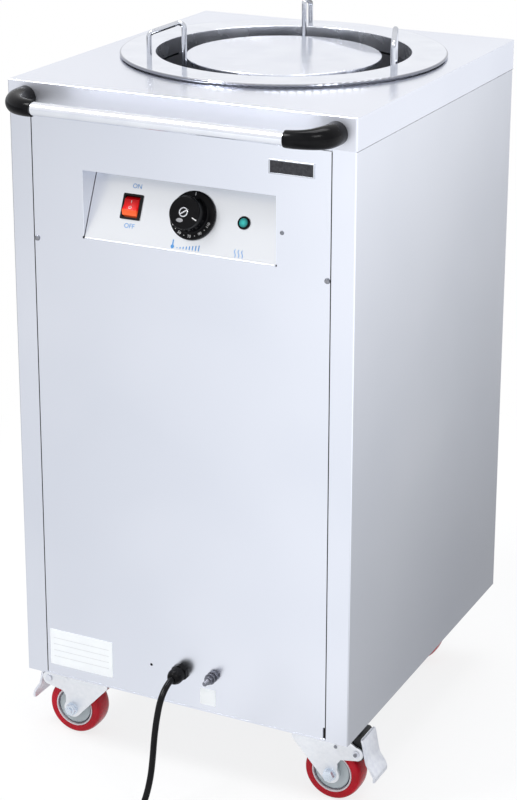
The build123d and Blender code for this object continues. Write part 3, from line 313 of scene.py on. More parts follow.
def add_node(tree, kind, inputs=None, **settings):
    """Add a node, set its options, and set or link its inputs."""
    made = tree.nodes.new(kind)
    for setting, value in settings.items():
        setattr(made, setting, value)
    for key, value in (inputs or {}).items():
        if isinstance(value, bpy.types.NodeSocket):
            tree.links.new(value, made.inputs[key])
        else:
            made.inputs[key].default_value = value
    return made


def drive(shader, **sources):
    """Link values to a shader's sockets, which are named as in new_finish."""
    for socket, source in sources.items():
        shader.id_data.links.new(source, shader.inputs[socket.replace("_", " ")])


def object_place(tree, scale):
    """The Object coordinates, stretched by a Mapping node."""
    coordinates = add_node(tree, "ShaderNodeTexCoord").outputs["Object"]
    return add_node(tree, "ShaderNodeMapping", {"Vector": coordinates, "Scale": scale}).outputs["Vector"]


def noise(tree, scale, detail=3.0, stretch=(1, 1, 1), roughness=0.5):
    """Noise at a number of features per metre."""
    return add_node(tree, "ShaderNodeTexNoise", {"Vector": object_place(tree, stretch), "Scale": scale,
                                                 "Detail": detail, "Roughness": roughness}).outputs["Fac"]


def spread(tree, value, low, high, from_low=0.3, from_high=0.7):
    """Map a value to a range."""
    return add_node(tree, "ShaderNodeMapRange", {"Value": value, "From Min": from_low, "From Max": from_high,
                                                 "To Min": low, "To Max": high}).outputs["Result"]


def tones_along(tree, value, *stops):
    """A colour that runs through stops of (position, tone)."""
    ramp = add_node(tree, "ShaderNodeValToRGB", {"Fac": value})
    elements = ramp.color_ramp.elements
    while len(elements) < len(stops):
        elements.new(0.5)
    for element, (position, tone) in zip(elements, stops):
        element.position = position
        element.color = (*tone, 1.0)
    return ramp.outputs["Color"]


def two_tones(tree, value, first, second, low=0.35, high=0.65):
    """A colour that runs from one tone to another."""
    return tones_along(tree, value, (low, first), (high, second))


def bumpy(tree, shader, height, strength, distance=0.0001):
    """A bump from a height."""
    bump = add_node(tree, "ShaderNodeBump", {"Height": height, "Strength": strength, "Distance": distance})
    drive(shader, Normal=bump.outputs["Normal"])


def calc(tree, operation, first, second=0.0, third=0.0):
    """One Math node."""
    return add_node(tree, "ShaderNodeMath", {0: first, 1: second, 2: third}, operation=operation).outputs[0]


def along(tree, way, origin=(0, 0, 0)):
    """Distance from an origin along a direction, read at the Object coordinates."""
    coordinates = add_node(tree, "ShaderNodeTexCoord").outputs["Object"]
    offset = add_node(tree, "ShaderNodeVectorMath", {0: coordinates, 1: tuple(origin)}, operation="SUBTRACT")
    return add_node(tree, "ShaderNodeVectorMath", {0: offset.outputs[0], 1: tuple(way)},
                    operation="DOT_PRODUCT").outputs["Value"]


def off_axis(tree, origin, second_way):
    """Distance from an axis through an origin that is square to x and to a second direction."""
    offsets = (along(tree, (1, 0, 0), origin), along(tree, second_way, origin))
    squares = [calc(tree, "MULTIPLY", offset, offset) for offset in offsets]
    return calc(tree, "SQRT", calc(tree, "ADD", *squares))


def mix(tree, share, first, second):
    """Two colours mixed by a share; the Mix node's colours are its inputs 6 and 7."""
    return add_node(tree, "ShaderNodeMix", {0: share, 6: first, 7: second}, data_type="RGBA").outputs[2]


print("finish helpers are ready")

# %% [markdown]
# ## Stainless steel
#
# The cabinet is folded from brushed stainless sheet. Brushing is thousands of fine scratches in one
# direction, so its noise is drawn out along that direction. It drives a very small bump and the
# roughness, which gives the soft reflections of satin sheet. A second, broad noise shifts the tone a
# little, as rolled sheet does. The tones are slightly blue, as of steel in a cool studio.

# %% Brushed steel sheet
skirt_top_z = 0.8735
satin_gain = 0.24


def steel_sheet(name, darker, lighter, roughness, stretch, bump=0.018, satin_below=None):
    """Brushed sheet: stretch is small along the brushing. Below a height it can be duller."""
    finish, tree, shader = new_finish(name, Metallic=1.0)
    scratches = noise(tree, 900.0, 2.0, stretch)
    clouds = noise(tree, 3.1, 2.0)
    rough = spread(tree, scratches, roughness - 0.02, roughness + 0.03)
    if satin_below:
        below = calc(tree, "LESS_THAN", along(tree, (0, 0, 1)), satin_below)
        rough = calc(tree, "MULTIPLY_ADD", below, satin_gain, rough)
    drive(shader, Base_Color=two_tones(tree, clouds, darker, lighter), Roughness=rough)
    bumpy(tree, shader, scratches, bump, 0.0002)
    return finish


steel_upright = steel_sheet("steel_upright", (0.72, 0.745, 0.82), (0.78, 0.80, 0.87), 0.24, (1, 1, 0.02))
steel_level = steel_sheet("steel_level", (0.78, 0.80, 0.87), (0.83, 0.85, 0.92), 0.22, (0.02, 1, 1),
                          satin_below=skirt_top_z)
steel_fascia = steel_sheet("steel_fascia", (0.76, 0.78, 0.82), (0.80, 0.82, 0.86), 0.30, (0.02, 1, 1), 0.006)
steel_inside = steel_sheet("steel_inside", (0.42, 0.43, 0.47), (0.50, 0.51, 0.55), 0.34, (1, 1, 0.03))
print("sheet finishes", steel_upright.name, steel_level.name, steel_inside.name)

# %% [markdown]
# ## Polished steel
#
# The flange, the platform and the push bar were turned and polished. They mirror more sharply, so the
# roughness is low and only a faint smear of uneven polish remains. Towards its outer edge the
# flange's rolled rim turns dark grey: painted shade.

# %% Polished steel
def polished_steel(name, darker, lighter, roughness, smear=0.04):
    """Turned and polished steel with a faint smear."""
    finish, tree, shader = new_finish(name, Metallic=1.0)
    haze = noise(tree, 26.0, 4.0)
    fine = noise(tree, 1400.0, 1.0)
    drive(shader, Base_Color=two_tones(tree, haze, darker, lighter),
          Roughness=spread(tree, haze, roughness - smear / 2, roughness + smear))
    bumpy(tree, shader, fine, 0.02)
    return finish


polish_flange = polished_steel("polish_flange", (0.80, 0.82, 0.88), (0.86, 0.88, 0.93), 0.10)
tree = polish_flange.node_tree
shader = tree.nodes["Principled BSDF"]
well_y, wall_radius, rim_shade_start, rim_shade_end = 0.06105, 0.15915, 0.2012, 0.2032
from_axis = off_axis(tree, (0, well_y, 0), (0, 1, 0))
inner_wall = calc(tree, "LESS_THAN", from_axis, wall_radius)
haze = shader.inputs["Roughness"].links[0].from_socket
# Painted shade: the rolled rim's outer band is mixed towards dark grey.
rim_shade = spread(tree, from_axis, 0.0, 1.0, rim_shade_start, rim_shade_end)
bright = shader.inputs["Base Color"].links[0].from_socket
drive(shader, Roughness=calc(tree, "MULTIPLY_ADD", inner_wall, 0.16, haze),
      Base_Color=mix(tree, rim_shade, bright, (0.26, 0.27, 0.31, 1.0)))
polish_platform = polished_steel("polish_platform", (0.78, 0.80, 0.87), (0.83, 0.85, 0.91), 0.17)
polish_rod = polished_steel("polish_rod", (0.50, 0.52, 0.57), (0.64, 0.66, 0.71), 0.15)
head_steel = polished_steel("head_steel", (0.62, 0.63, 0.66), (0.72, 0.73, 0.76), 0.24)
dull_screw = polished_steel("dull_screw", (0.20, 0.21, 0.24), (0.30, 0.31, 0.34), 0.40)
polish_bar = polished_steel("polish_bar", (0.80, 0.82, 0.88), (0.86, 0.88, 0.93), 0.16)
print("polished finishes ready")

# %% [markdown]
# ## Zinc, bolts and dark metal
#
# Caster sheet is pressed steel with bright zinc on it: paler and flatter than stainless, with a faint
# crystalline mottle. The bolts are passivated, which tints them blue.

# %% Plated steel
def plated(name, darker, lighter, roughness, grain, metallic=1.0):
    """Plated or oxidised metal with a mottle."""
    finish, tree, shader = new_finish(name, Metallic=metallic)
    mottle = noise(tree, grain, 5.0, roughness=0.65)
    drive(shader, Base_Color=two_tones(tree, mottle, darker, lighter, 0.3, 0.7),
          Roughness=spread(tree, mottle, roughness - 0.06, roughness + 0.08))
    bumpy(tree, shader, mottle, 0.08)
    return finish


zinc_bright = plated("zinc_bright", (0.84, 0.86, 0.90), (0.93, 0.94, 0.97), 0.38, 160.0, 0.75)
zinc_blue = plated("zinc_blue", (0.68, 0.75, 0.84), (0.76, 0.82, 0.90), 0.26, 420.0)
stud_metal = plated("stud_metal", (0.15, 0.15, 0.18), (0.27, 0.28, 0.32), 0.45, 500.0)
spring_steel = plated("spring_steel", (0.20, 0.20, 0.21), (0.34, 0.34, 0.36), 0.42, 240.0)
element_skin = plated("element_skin", (0.09, 0.085, 0.08), (0.20, 0.18, 0.16), 0.55, 130.0, 0.8)
print("plated finishes ready")

# %% [markdown]
# ## Plastics and rubber
#
# Moulded plastic carries a very fine spark-eroded grain and a few softer patches where hands polish
# it. The black parts here are glossy, so their grain stays faint. The cord's rubber is a little
# duller, and of these only the red treads wear a thin clear coat.

# %% Moulded finishes
def moulded(name, darker, lighter, roughness, grain=1500.0, bump=0.08, coat=0.0, specular=0.3):
    """Plastic or rubber with a fine skin and softer patches."""
    finish, tree, shader = new_finish(name, Specular_IOR_Level=specular, Coat_Weight=coat,
                                      Coat_Roughness=0.08)
    skin = noise(tree, grain, 2.0)
    patches = noise(tree, 45.0, 3.0)
    drive(shader, Base_Color=two_tones(tree, patches, darker, lighter),
          Roughness=spread(tree, patches, roughness - 0.04, roughness + 0.06))
    bumpy(tree, shader, skin, bump)
    return finish


blacks = ((0.003, 0.003, 0.004), (0.007, 0.007, 0.008))
black_gloss = moulded("black_gloss", *blacks, 0.16, bump=0.03, specular=0.09)
black_satin = moulded("black_satin", (0.008, 0.008, 0.009), (0.016, 0.016, 0.017), 0.36, specular=0.14)
cord_rubber = moulded("cord_rubber", *blacks, 0.20, 900.0, 0.05, specular=0.14)
nylon_pad = moulded("nylon_pad", (0.70, 0.70, 0.66), (0.80, 0.80, 0.77), 0.45)
tread_red = moulded("tread_red", (0.40, 0.0, 0.008), (0.50, 0.0, 0.014), 0.22, 700.0, 0.05, 0.12, 0.2)
print_white = moulded("print_white", (0.80, 0.80, 0.80), (0.90, 0.90, 0.90), 0.45)
print_blue = moulded("print_blue", (0.10, 0.33, 0.72), (0.14, 0.40, 0.80), 0.45)
print_grey = moulded("print_grey", (0.30, 0.30, 0.32), (0.42, 0.42, 0.44), 0.35)
print("moulded finishes ready")

# %% [markdown]
# ## Finishes that follow a shape
#
# Some pieces carry two colours on one moulding. The wheel core is grey with a pale ring outside it,
# and between them a dark band of painted shade for the groove: the distance from its axle decides.
# The rocker's red carries painted light: painted shade on its pressed half, a painted orange highlight
# on the chamfer of its raised end, and a faint painted glow: the distance along the slope decides.

# %% Wheel core
def wheel_core_finish(name, axle_x, axle_z, reach=0.030):
    """Grey inside, then a dark band of painted shade for a groove, then a pale ring; reach is the distance of
    the last tone.
    """
    finish, tree, shader = new_finish(name, Roughness=0.38)
    share = spread(tree, off_axis(tree, (axle_x, 0, axle_z), (0, 0, 1)), 0.0, 1.0, 0.0, reach)
    # The near-black band between the grey core and the pale ring is painted shade of the groove.
    tones = [(0.0, (0.42, 0.47, 0.50)), (0.74, (0.50, 0.56, 0.58)), (0.762, (0.03, 0.05, 0.09)),
             (0.792, (0.03, 0.05, 0.09)), (0.808, (0.68, 0.62, 0.65)), (1.0, (0.72, 0.66, 0.69))]
    drive(shader, Base_Color=tones_along(tree, share, *tones))
    bumpy(tree, shader, noise(tree, 1200.0), 0.08)
    return finish


print("wheel core finish ready")

# %% Rocker, in two tones along its slope
rocker_centre = fascia_foot + Vector((-0.0704, 0, 0)) + up_slope * 0.0433
# The emission paints a faint glow on the rocker.
rocker_red, tree, shader = new_finish("rocker_red", Roughness=0.24, Specular_IOR_Level=0.2,
                                      Emission_Strength=0.25)
rocker_half = 0.0125
slope_share = spread(tree, along(tree, up_slope, rocker_centre), 0.0, 1.0, -rocker_half, rocker_half)
# Painted light: an orange painted highlight on the raised end's chamfer, painted shade on the pressed half.
lit_and_shaded_reds = tones_along(tree, slope_share, (0.0, (1.0, 0.16, 0.05)), (0.30, (1.0, 0.10, 0.02)),
                   (0.36, (0.85, 0.012, 0.012)), (0.70, (0.62, 0.004, 0.006)), (1.0, (0.30, 0.0, 0.004)))
drive(shader, Base_Color=lit_and_shaded_reds, Emission_Color=lit_and_shaded_reds)
bumpy(tree, shader, noise(tree, 1500.0), 0.05)
print("rocker finish", rocker_red.name)

# %% [markdown]
# ## The brake pedals
#
# A pedal is a pale pressed sheet, and behind it sits the block that the brake pushes on the tread.
# They are one moving piece, so one finish paints both: what lies on the wheel's side of the sheet, and
# between the fork's ears, is painted black as painted shade, the deep shade that lies behind the pedal.

# %% Pedal finish
sheet_lean, sheet_out, sheet_z, paint_margin = 0.208, 0.0650, 0.0935, 0.0004
shade_block_half = 0.0169


def pedal_finish(name, swivel_x, swivel_y, outward):
    """A pale sheet, and a block painted black as painted shade; the sheet's inner face passes through
    sheet_out at sheet_z.
    """
    finish, tree, shader = new_finish(name, Metallic=0.5)
    back = along(tree, (outward, 0, 0), (swivel_x, 0, 0))
    height = along(tree, (0, 0, 1))
    face_at_floor = sheet_out + sheet_lean * sheet_z - paint_margin
    inner_face = calc(tree, "MULTIPLY_ADD", height, -sheet_lean, face_at_floor)
    behind = calc(tree, "LESS_THAN", back, inner_face)
    aside = calc(tree, "ABSOLUTE", along(tree, (0, 1, 0), (0, swivel_y, 0)))
    within = calc(tree, "LESS_THAN", aside, shade_block_half)
    # Painted shade: this part is painted near black for the shade behind the pedal.
    block = calc(tree, "MULTIPLY", behind, within)
    mottle = noise(tree, 160.0, 5.0)
    sheet_tone = two_tones(tree, mottle, (0.74, 0.76, 0.83), (0.83, 0.85, 0.90))
    drive(shader, Base_Color=mix(tree, block, sheet_tone, (0.012, 0.012, 0.013, 1.0)),
          Roughness=spread(tree, mottle, 0.34, 0.46))
    bumpy(tree, shader, mottle, 0.06)
    return finish


print("pedal finish ready")

# %% [markdown]
# ## Labels, plaque and lamp
#
# The labels stay blank: a white film, and empty ruled lines on the larger one. The plaque is a dark
# plate with nothing on it. The pilot lamp is a teal lens, a little brighter in its middle.

# %% Blank ruled label
label_film, tree, shader = new_finish("label_film", Roughness=0.42)
across = along(tree, (1, 0, 0), (-0.1443, 0, 0))
level = along(tree, (0, 0, 1), (0, 0, 0.1445))
rows_per_metre = 118.0
in_row = calc(tree, "FRACT", calc(tree, "MULTIPLY", level, rows_per_metre))
row = calc(tree, "ABSOLUTE", calc(tree, "SUBTRACT", in_row, 0.5))
on_row = calc(tree, "LESS_THAN", row, 0.035)
in_width = calc(tree, "LESS_THAN", calc(tree, "ABSOLUTE", across), 0.0400)
in_height = calc(tree, "LESS_THAN", calc(tree, "ABSOLUTE", level), 0.0200)
ruled = calc(tree, "MULTIPLY", on_row, calc(tree, "MULTIPLY", in_width, in_height))
paper = two_tones(tree, noise(tree, 60.0), (0.90, 0.93, 0.95), (0.94, 0.97, 0.98))
drive(shader, Base_Color=mix(tree, calc(tree, "MULTIPLY", ruled, 0.45), paper, (0.25, 0.26, 0.28, 1.0)))
bumpy(tree, shader, noise(tree, 900.0), 0.04)
print("label finish", label_film.name)

# %% Plaque and lamp lens
plaque_dark = plated("plaque_dark", (0.035, 0.035, 0.040), (0.075, 0.075, 0.082), 0.30, 380.0, 0.9)
lamp_centre = fascia_foot + Vector((0.077, 0, 0)) + up_slope * 0.0427
lens_teal, tree, shader = new_finish("lens_teal", Roughness=0.12, Coat_Weight=0.3, Coat_Roughness=0.04,
                                     Specular_IOR_Level=0.3, Emission_Strength=0.12)
lens_radius = 0.0058
lens_share = spread(tree, off_axis(tree, lamp_centre, up_slope), 0.0, 1.0, 0.0, lens_radius)
glow = two_tones(tree, lens_share, (0.03, 0.52, 0.48), (0.0, 0.16, 0.16), 0.25, 0.95)
drive(shader, Base_Color=glow, Emission_Color=glow)
bumpy(tree, shader, noise(tree, 700.0), 0.05)
print("lens finish", lens_teal.name)

# %% [markdown]
# ## Dressing the CAD nodes
#
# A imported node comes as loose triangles. Its points aren't moved, but modifiers may be laid over it:
# Weld joins the triangles, Bevel rounds the folded edges so that they catch a line of light, and Edge
# Split keeps the real edges crisp while the round faces shade smoothly. On the deck and the flange,
# normals weighted by area keep the large flats even.

# %% Give each CAD node its finish
flat_sheets = ["left_side", "right_side", "rear_panel", "front_panel", "top_rail", "base_tray",
               "control_fascia", "labels", "tube_brackets"]
split_angle = radians(30)


def dress(node, finish, bevel=0.0):
    """Set a node's material, and let its round faces shade smoothly. Folded sheet keeps flat faces."""
    body = nodes[node]
    body.data.materials.clear()
    body.data.materials.append(finish)
    if node in flat_sheets:
        return
    body.data.shade_smooth()
    add_modifier(body, "WELD", merge_threshold=0.00001)
    if bevel:
        add_modifier(body, "BEVEL", width=bevel, segments=2, limit_method="ANGLE", angle_limit=radians(50))
    add_modifier(body, "EDGE_SPLIT", split_angle=split_angle, use_edge_sharp=False)
    if node in ("deck_top", "well_flange"):
        add_modifier(body, "WEIGHTED_NORMAL", mode="FACE_AREA", weight=100, keep_sharp=True)


finishes = {
    steel_level: ["deck_top"],
    steel_fascia: ["control_fascia"],
    steel_upright: ["left_side", "right_side", "rear_panel", "front_panel", "top_rail", "base_tray"],
    steel_inside: ["well_tube", "well_floor", "tube_brackets", "platform_carrier"],
    polish_flange: ["well_flange"],
    polish_platform: ["platform_disc"],
    polish_rod: ["guide_left", "guide_back", "guide_right", "plug_pins"],
    dull_screw: ["body_screws"],
    polish_bar: ["handle_bar"],
    black_gloss: ["handle_elbow_left", "handle_elbow_right", "pilot_bezel"],
    black_satin: ["rocker_housing", "thermostat_body"],
    nylon_pad: ["glide_pads"],
    spring_steel: ["lift_spring"],
    element_skin: ["heating_element"],
    zinc_bright: ["caster_plates"],
    zinc_blue: ["caster_bolts"],
    label_film: ["labels"],
    lens_teal: ["pilot_lens"],
    rocker_red: ["rocker"],
}
bevels = {"rocker": 0.0005, "body_screws": 0.0002}
for finish, named in finishes.items():
    for node in named:
        dress(node, finish, bevels.get(node, 0.0))
print("dressed", sum(len(named) for named in finishes.values()), "nodes")

# %% Dress the casters
caster_x, front_y, rear_y = 0.159, -0.16065, 0.21935
casters = {"front_left": (-caster_x, front_y, -1), "front_right": (caster_x, front_y, 1),
           "rear_left": (-caster_x, rear_y, 1), "rear_right": (caster_x, rear_y, -1)}
trail, wheel_radius = 0.025, 0.0375
for corner, (x, y, outward) in casters.items():
    dress(corner + "_fork", zinc_bright, 0.0006)
    dress(corner + "_axle", zinc_blue, 0.0003)
    dress(corner + "_wheel_core", wheel_core_finish(corner + "_core_grey", x + outward * trail, wheel_radius))
    if corner.startswith("front"):
        dress(corner + "_brake_pedal", pedal_finish(corner + "_pedal_zinc", x, y, outward), 0.0005)
print("dressed", len(casters), "casters")

# %% [markdown]
# ## The treads
#
# The red tyre is cast polyurethane. Its flanks are flat and its running face is slightly crowned, with
# a soft shoulder between them. A spun profile with a rounded shoulder gives the broad sheen that the
# wheel shows. One tread is modelled and copied to the four wheels.

# %% Treads
half_width = 0.015
tread_profile = [(0.0264, -half_width), (0.0341, -half_width), (0.0359, -0.0132), (0.0371, -0.0090),
                 (0.0375, -0.0040), (0.0375, 0.0040), (0.0371, 0.0090), (0.0359, 0.0132),
                 (0.0341, half_width), (0.0264, half_width), (0.0264, -half_width)]
first_tread = turned("tread_model", rounded(tread_profile, 0.0016, 5))
smooth(first_tread, 40, tread_red)
for corner, (x, y, outward) in casters.items():
    tread = first_tread.copy()
    tread.data = first_tread.data.copy()
    tread.name = tread.data.name = corner + "_tyre"
    bpy.context.scene.collection.objects.link(tread)
    settle(tread, plane_at((x + outward * trail, y, wheel_radius)))
    belongs(tread, corner + "_wheel", "wheel_red", corner + "_tread")
bpy.data.objects.remove(first_tread)

# %% [markdown]
# ## The thermostat knob
#
# The knob is a turned cap on a thin numbered skirt. The cap leans back towards its top and has a
# softened rim. Its numbers are flat text a tenth of a millimetre proud of the skirt, set round the
# axis, and they turn with the knob.

# %% Knob body
knob_profile = [(0.0030, 0.0010), (0.0290, 0.0010), (0.0290, 0.0030), (0.0279, 0.0040), (0.0216, 0.0046),
                (0.0204, 0.0056), (0.0197, 0.0232), (0.0184, 0.0248), (0.0120, 0.0250), (0.0062, 0.0250),
                (0.0062, 0.0242), (0.0030, 0.0242), (0.0030, 0.0010)]
knob = turned("knob_cap", rounded(knob_profile, 0.0007), 128)
smooth(knob, 40, black_gloss)
knob_place = on_fascia(0.011, 0.043)
settle(knob, knob_place)
belongs(knob, "knob", "black_gloss", "thermostat_knob")

# %% Marks on the skirt
def flat_text(body, size, depth=0.00006):
    """Text as a thin mesh, centred on the origin."""
    bpy.ops.object.text_add()
    words = bpy.context.active_object
    words.data.body = body
    words.data.size = size
    words.data.align_x = "CENTER"
    words.data.align_y = "CENTER"
    words.data.extrude = depth
    words.data.resolution_u = 4
    bpy.ops.object.convert(target="MESH")
    return bpy.context.active_object


def flat_bar(length, width, depth=0.00012):
    """A thin printed bar with softened corners, centred on the origin."""
    bar = block((length, width, depth))
    edit()
    bpy.ops.mesh.bevel(offset=min(width, length) * 0.2, segments=2, affect="EDGES", clamp_overlap=True)
    leave_edit()
    return bar


def joined(name, pieces, finish):
    """Join several meshes into one piece with one finish."""
    pick(*pieces)
    bpy.ops.object.join()
    made = bpy.context.active_object
    made.name = made.data.name = name
    made.data.materials.clear()
    made.data.materials.append(finish)
    return made


marks_radius, marks_level = 0.0250, 0.0044


def spun(degrees, axis="Z"):
    """A turn about one axis."""
    return Matrix.Rotation(radians(degrees), 4, axis)


def on_skirt(mark, angle, turn):
    """Set a mark on the knob's skirt, at an angle round its axis."""
    spot = (marks_radius * cos(radians(angle)), marks_radius * sin(radians(angle)), marks_level)
    return settle(mark, knob_place @ Matrix.Translation(spot) @ spun(turn))


scale_marks = [(-150, "30"), (-118, "50"), (-86, "70"), (-54, "90"), (-22, "110")]
skirt_marks = [on_skirt(flat_text(number, 0.0046), angle, angle + 90) for angle, number in scale_marks]
skirt_marks += [on_skirt(flat_bar(0.0009, 0.0009), angle, angle) for angle in (-134, -102, -70, -38)]
tick_place = knob_place @ Matrix.Translation((0.0006, 0.0252, marks_level)) @ spun(90)
skirt_marks.append(settle(flat_bar(0.0040, 0.0008), tick_place))
belongs(joined("knob_scale", skirt_marks, print_white), "knob", "label_white")

# %% Pointer and grip mark on the cap
pointer = flat_bar(0.0070, 0.0011, 0.0004)
settle(pointer, knob_place @ spun(-24) @ Matrix.Translation((0.0160, 0, 0.0250)))
belongs(joined("knob_pointer", [pointer], print_white), "knob", "label_white")
grip = turned("knob_dimple", [(0.0, 0.0003), (0.0022, 0.00028), (0.0031, 0.0002), (0.0036, 0.0)], 48)
oval = Matrix.Diagonal((1.2, 0.65, 1.0, 1.0))
settle(grip, knob_place @ Matrix.Translation((-0.0036, -0.0098, 0.0250)) @ oval)
smooth(grip, finish=print_grey)
belongs(grip, "knob", "black_gloss")

# %% [markdown]
# The middle of the cap shows the shaft's bright head: a ring with a slot bar across a dark floor.

# %% Shaft head
head_parts = [turned("head_ring", [(0.0043, 0.0246), (0.0043, 0.0262), (0.0047, 0.0266), (0.0053, 0.0266),
                                   (0.0058, 0.0262), (0.0058, 0.0246), (0.0043, 0.0246)], 64)]
head_bar = flat_bar(0.0088, 0.0017, 0.0012)
head_parts.append(settle(head_bar, Matrix.Translation((0, 0, 0.0256)) @ spun(35)))
shaft = turned("shaft", [(0.0, -0.010), (0.0030, -0.010), (0.0030, 0.0243), (0.0044, 0.0246),
                         (0.0044, 0.0247), (0.0, 0.0247)], 48)
head_floor = joined("shaft_floor", [shaft], black_satin)
settle(head_floor, knob_place)
belongs(head_floor, "knob", "black_gloss")
shaft_head = joined("shaft_head", head_parts, head_steel)
smooth(shaft_head)
settle(shaft_head, knob_place)
belongs(shaft_head, "knob", "rod_steel", "thermostat_shaft")

# %% [markdown]
# ## Legends
#
# The switch is marked ON and OFF. The thermostat and the lamp get plain signs instead of words: a
# wedge that grows from cool to hot beside a thermometer, and three waves of rising heat.

# %% ON and OFF
def printed(mark, x, up, degrees=0):
    """Lay a mark on the fascia, a tenth of a millimetre proud of it."""
    return settle(mark, on_fascia(x, up, 0.0001) @ spun(degrees))


legend_parts = [printed(flat_text("ON", 0.0080), -0.0680, 0.0680),
                printed(flat_text("OFF", 0.0080), -0.0693, 0.0203)]

# %% Thermometer with its wedge
bulb = turned("bulb", [(0.0, -0.0001), (0.0021, -0.0001), (0.0023, 0.0), (0.0021, 0.0001), (0.0, 0.0001)], 32)
legend_parts.append(printed(bulb, -0.0085, 0.0042))
legend_parts.append(printed(flat_bar(0.0080, 0.0017), -0.0085, 0.0084, 90))
for i in range(8):
    step = flat_bar(0.0012 + 0.0008 * i, 0.0014)
    legend_parts.append(printed(step, -0.0022 + 0.0040 * i, 0.0034 + 0.0004 * i, 90))

# %% Heat waves
def wave(x, up):
    """A short wavy stroke, as a thin bar bent along a sine."""
    length = 0.0092
    stroke = flat_bar(length, 0.0010)
    pick(stroke)
    edit()
    bpy.ops.mesh.subdivide(number_cuts=6)
    leave_edit()
    for vertex in stroke.data.vertices:
        vertex.co.y += 0.0011 * sin(vertex.co.x / length * 2 * pi)
    return printed(stroke, x, up, 90)


legend_parts += [wave(0.0724 + 0.0046 * i, 0.0066) for i in range(3)]
belongs(joined("fascia_legends", legend_parts, print_blue), "cart", "label_white")

# %% Marks on the rocker
half_angle = 12.9
tipped = plane_at(rocker_centre + out_of_slope * -0.003, out_of_slope) @ spun(-12.0, "X")
stroke = settle(flat_bar(0.0034, 0.0007),
                tipped @ Matrix.Translation((0, 0.0042, 0.00732)) @ spun(half_angle, "X") @ spun(90))
ring = turned("ring", [(0.0013, -0.00006), (0.0013, 0.00006), (0.0019, 0.00006), (0.0019, -0.00006),
                       (0.0013, -0.00006)], 40)
settle(ring, tipped @ Matrix.Translation((0, -0.0030, 0.00700)) @ spun(-half_angle, "X"))
belongs(joined("rocker_marks", [stroke, ring], print_white), "rocker", "label_white")

# %% [markdown]
# ## Badge place
#
# A small plate sits at the panel's upper right. It stays empty here: a dark field in a bright rolled
# rim. The rim is inset from a bevelled plate, and the field is pushed in behind it.

# %% Badge plate
plate_size = (0.0566, 0.0171, 0.0014)
plate = block(plate_size, plate_size[2] / 2)
edit()
bpy.ops.mesh.bevel(offset=0.0004, segments=3, affect="EDGES")
bpy.ops.mesh.select_all(action="DESELECT")
leave_edit()
for face in plate.data.polygons:
    face.select = face.normal.z > 0.99 and face.center.z > 0.0013
bpy.ops.object.mode_set(mode="EDIT")
bpy.ops.mesh.inset(thickness=0.0009, depth=0.0)
bpy.ops.mesh.inset(thickness=0.0003, depth=-0.0004)
leave_edit()
plate.data.materials.append(polish_rod)
plate.data.materials.append(plaque_dark)
for face in plate.data.polygons:
    face.material_index = 1 if face.select and face.normal.z > 0.9 else 0
plate.name = plate.data.name = "badge_plate"
smooth(plate, 30)
settle(plate, on_front(0.1455, 0.809))
belongs(plate, "cart", "plaque", "badge_plaque")

# %% [markdown]
# ## Folded edges
#
# Where sheet is folded it never ends in a knife edge: a small round catches the light. The recess gets
# such a bead along its sides and its foot. Under the deck's skirt a black bead paints the shadow line
# of its hem: painted shade.

# %% Recess bead and the painted shadow line under the skirt hem
def rod_between(start, end, radius):
    """A thin round rod from one point to another, with softened ends."""
    way = Vector(end) - Vector(start)
    bpy.ops.mesh.primitive_cylinder_add(vertices=16, radius=radius, depth=way.length)
    rod = bpy.context.active_object
    add_modifier(rod, "BEVEL", width=radius * 0.4, segments=2, limit_method="ANGLE", angle_limit=radians(60))
    apply_modifiers(rod)
    middle = (Vector(start) + Vector(end)) / 2
    return settle(rod, Matrix.Translation(middle) @ way.to_track_quat("Z", "Y").to_matrix().to_4x4())


def laid_beads(name, lines, finish):
    """One piece of rods along lines of (start, end, radius)."""
    beads = joined(name, [rod_between(*line) for line in lines], finish)
    smooth(beads, 40)
    return belongs(beads, "cart", "stainless")


bead_y, bead_radius = panel_face_y + 0.0003, 0.0004
side_beads = [((x, bead_y, 0.7751), (x, bead_y, 0.6953), bead_radius) for x in (-0.1263, 0.1263)]
foot_line = ((-0.1245, bead_y, 0.6932), (0.1245, bead_y, 0.6932), bead_radius)
laid_beads("recess_bead", [side_beads[0], foot_line, side_beads[1]], polish_bar)

# Painted shade: a black bead under the skirt's edge stands for the shadow line of its hem.
hem_z, hem_radius = 0.83645, 0.00045
hem_shade_lines = [((side * 0.2246, -0.2192, hem_z), (side * 0.2246, 0.2779, hem_z), hem_radius) for side in (1, -1)]
hem_shade_lines.append(((-0.2243, 0.2782, hem_z), (0.2243, 0.2782, hem_z), hem_radius))
laid_beads("skirt_hem_shade", hem_shade_lines, black_satin)

# %% [markdown]
# ## Seams and rivets
#
# The front panel's side seams are narrow gaps, which lie in shade. A black round bead laid in each one
# paints that shade, and a wider one paints it in the notch at the right seam's foot. The gap under the
# panel is closed by a bead of steel. The rivet and the brake pivot that the camera sees on the right
# front fork are dull grey.

# %% Painted shade in the seams of the front panel
seam_y, seam_foot = panel_face_y + 0.0004, 0.1085
# Painted shade: black beads in the seam gaps and in the notch stand for the shade in them.
seam_shade_lines = [((side * 0.1946, seam_y, seam_foot), (side * 0.1946, seam_y, 0.8335), 0.0008) for side in (-1, 1)]
notch_x, notch_y = 0.1928, panel_face_y + 0.0018
seam_shade_lines.append(((notch_x, notch_y, seam_foot), (notch_x, notch_y, 0.1225), 0.0016))
laid_beads("panel_seam_shade", seam_shade_lines, black_satin)
foot_y, foot_z = panel_face_y + 0.0006, 0.1076
laid_beads("panel_foot_bead", [((-0.1938, foot_y, foot_z), (0.1938, foot_y, foot_z), 0.0006)], steel_upright)

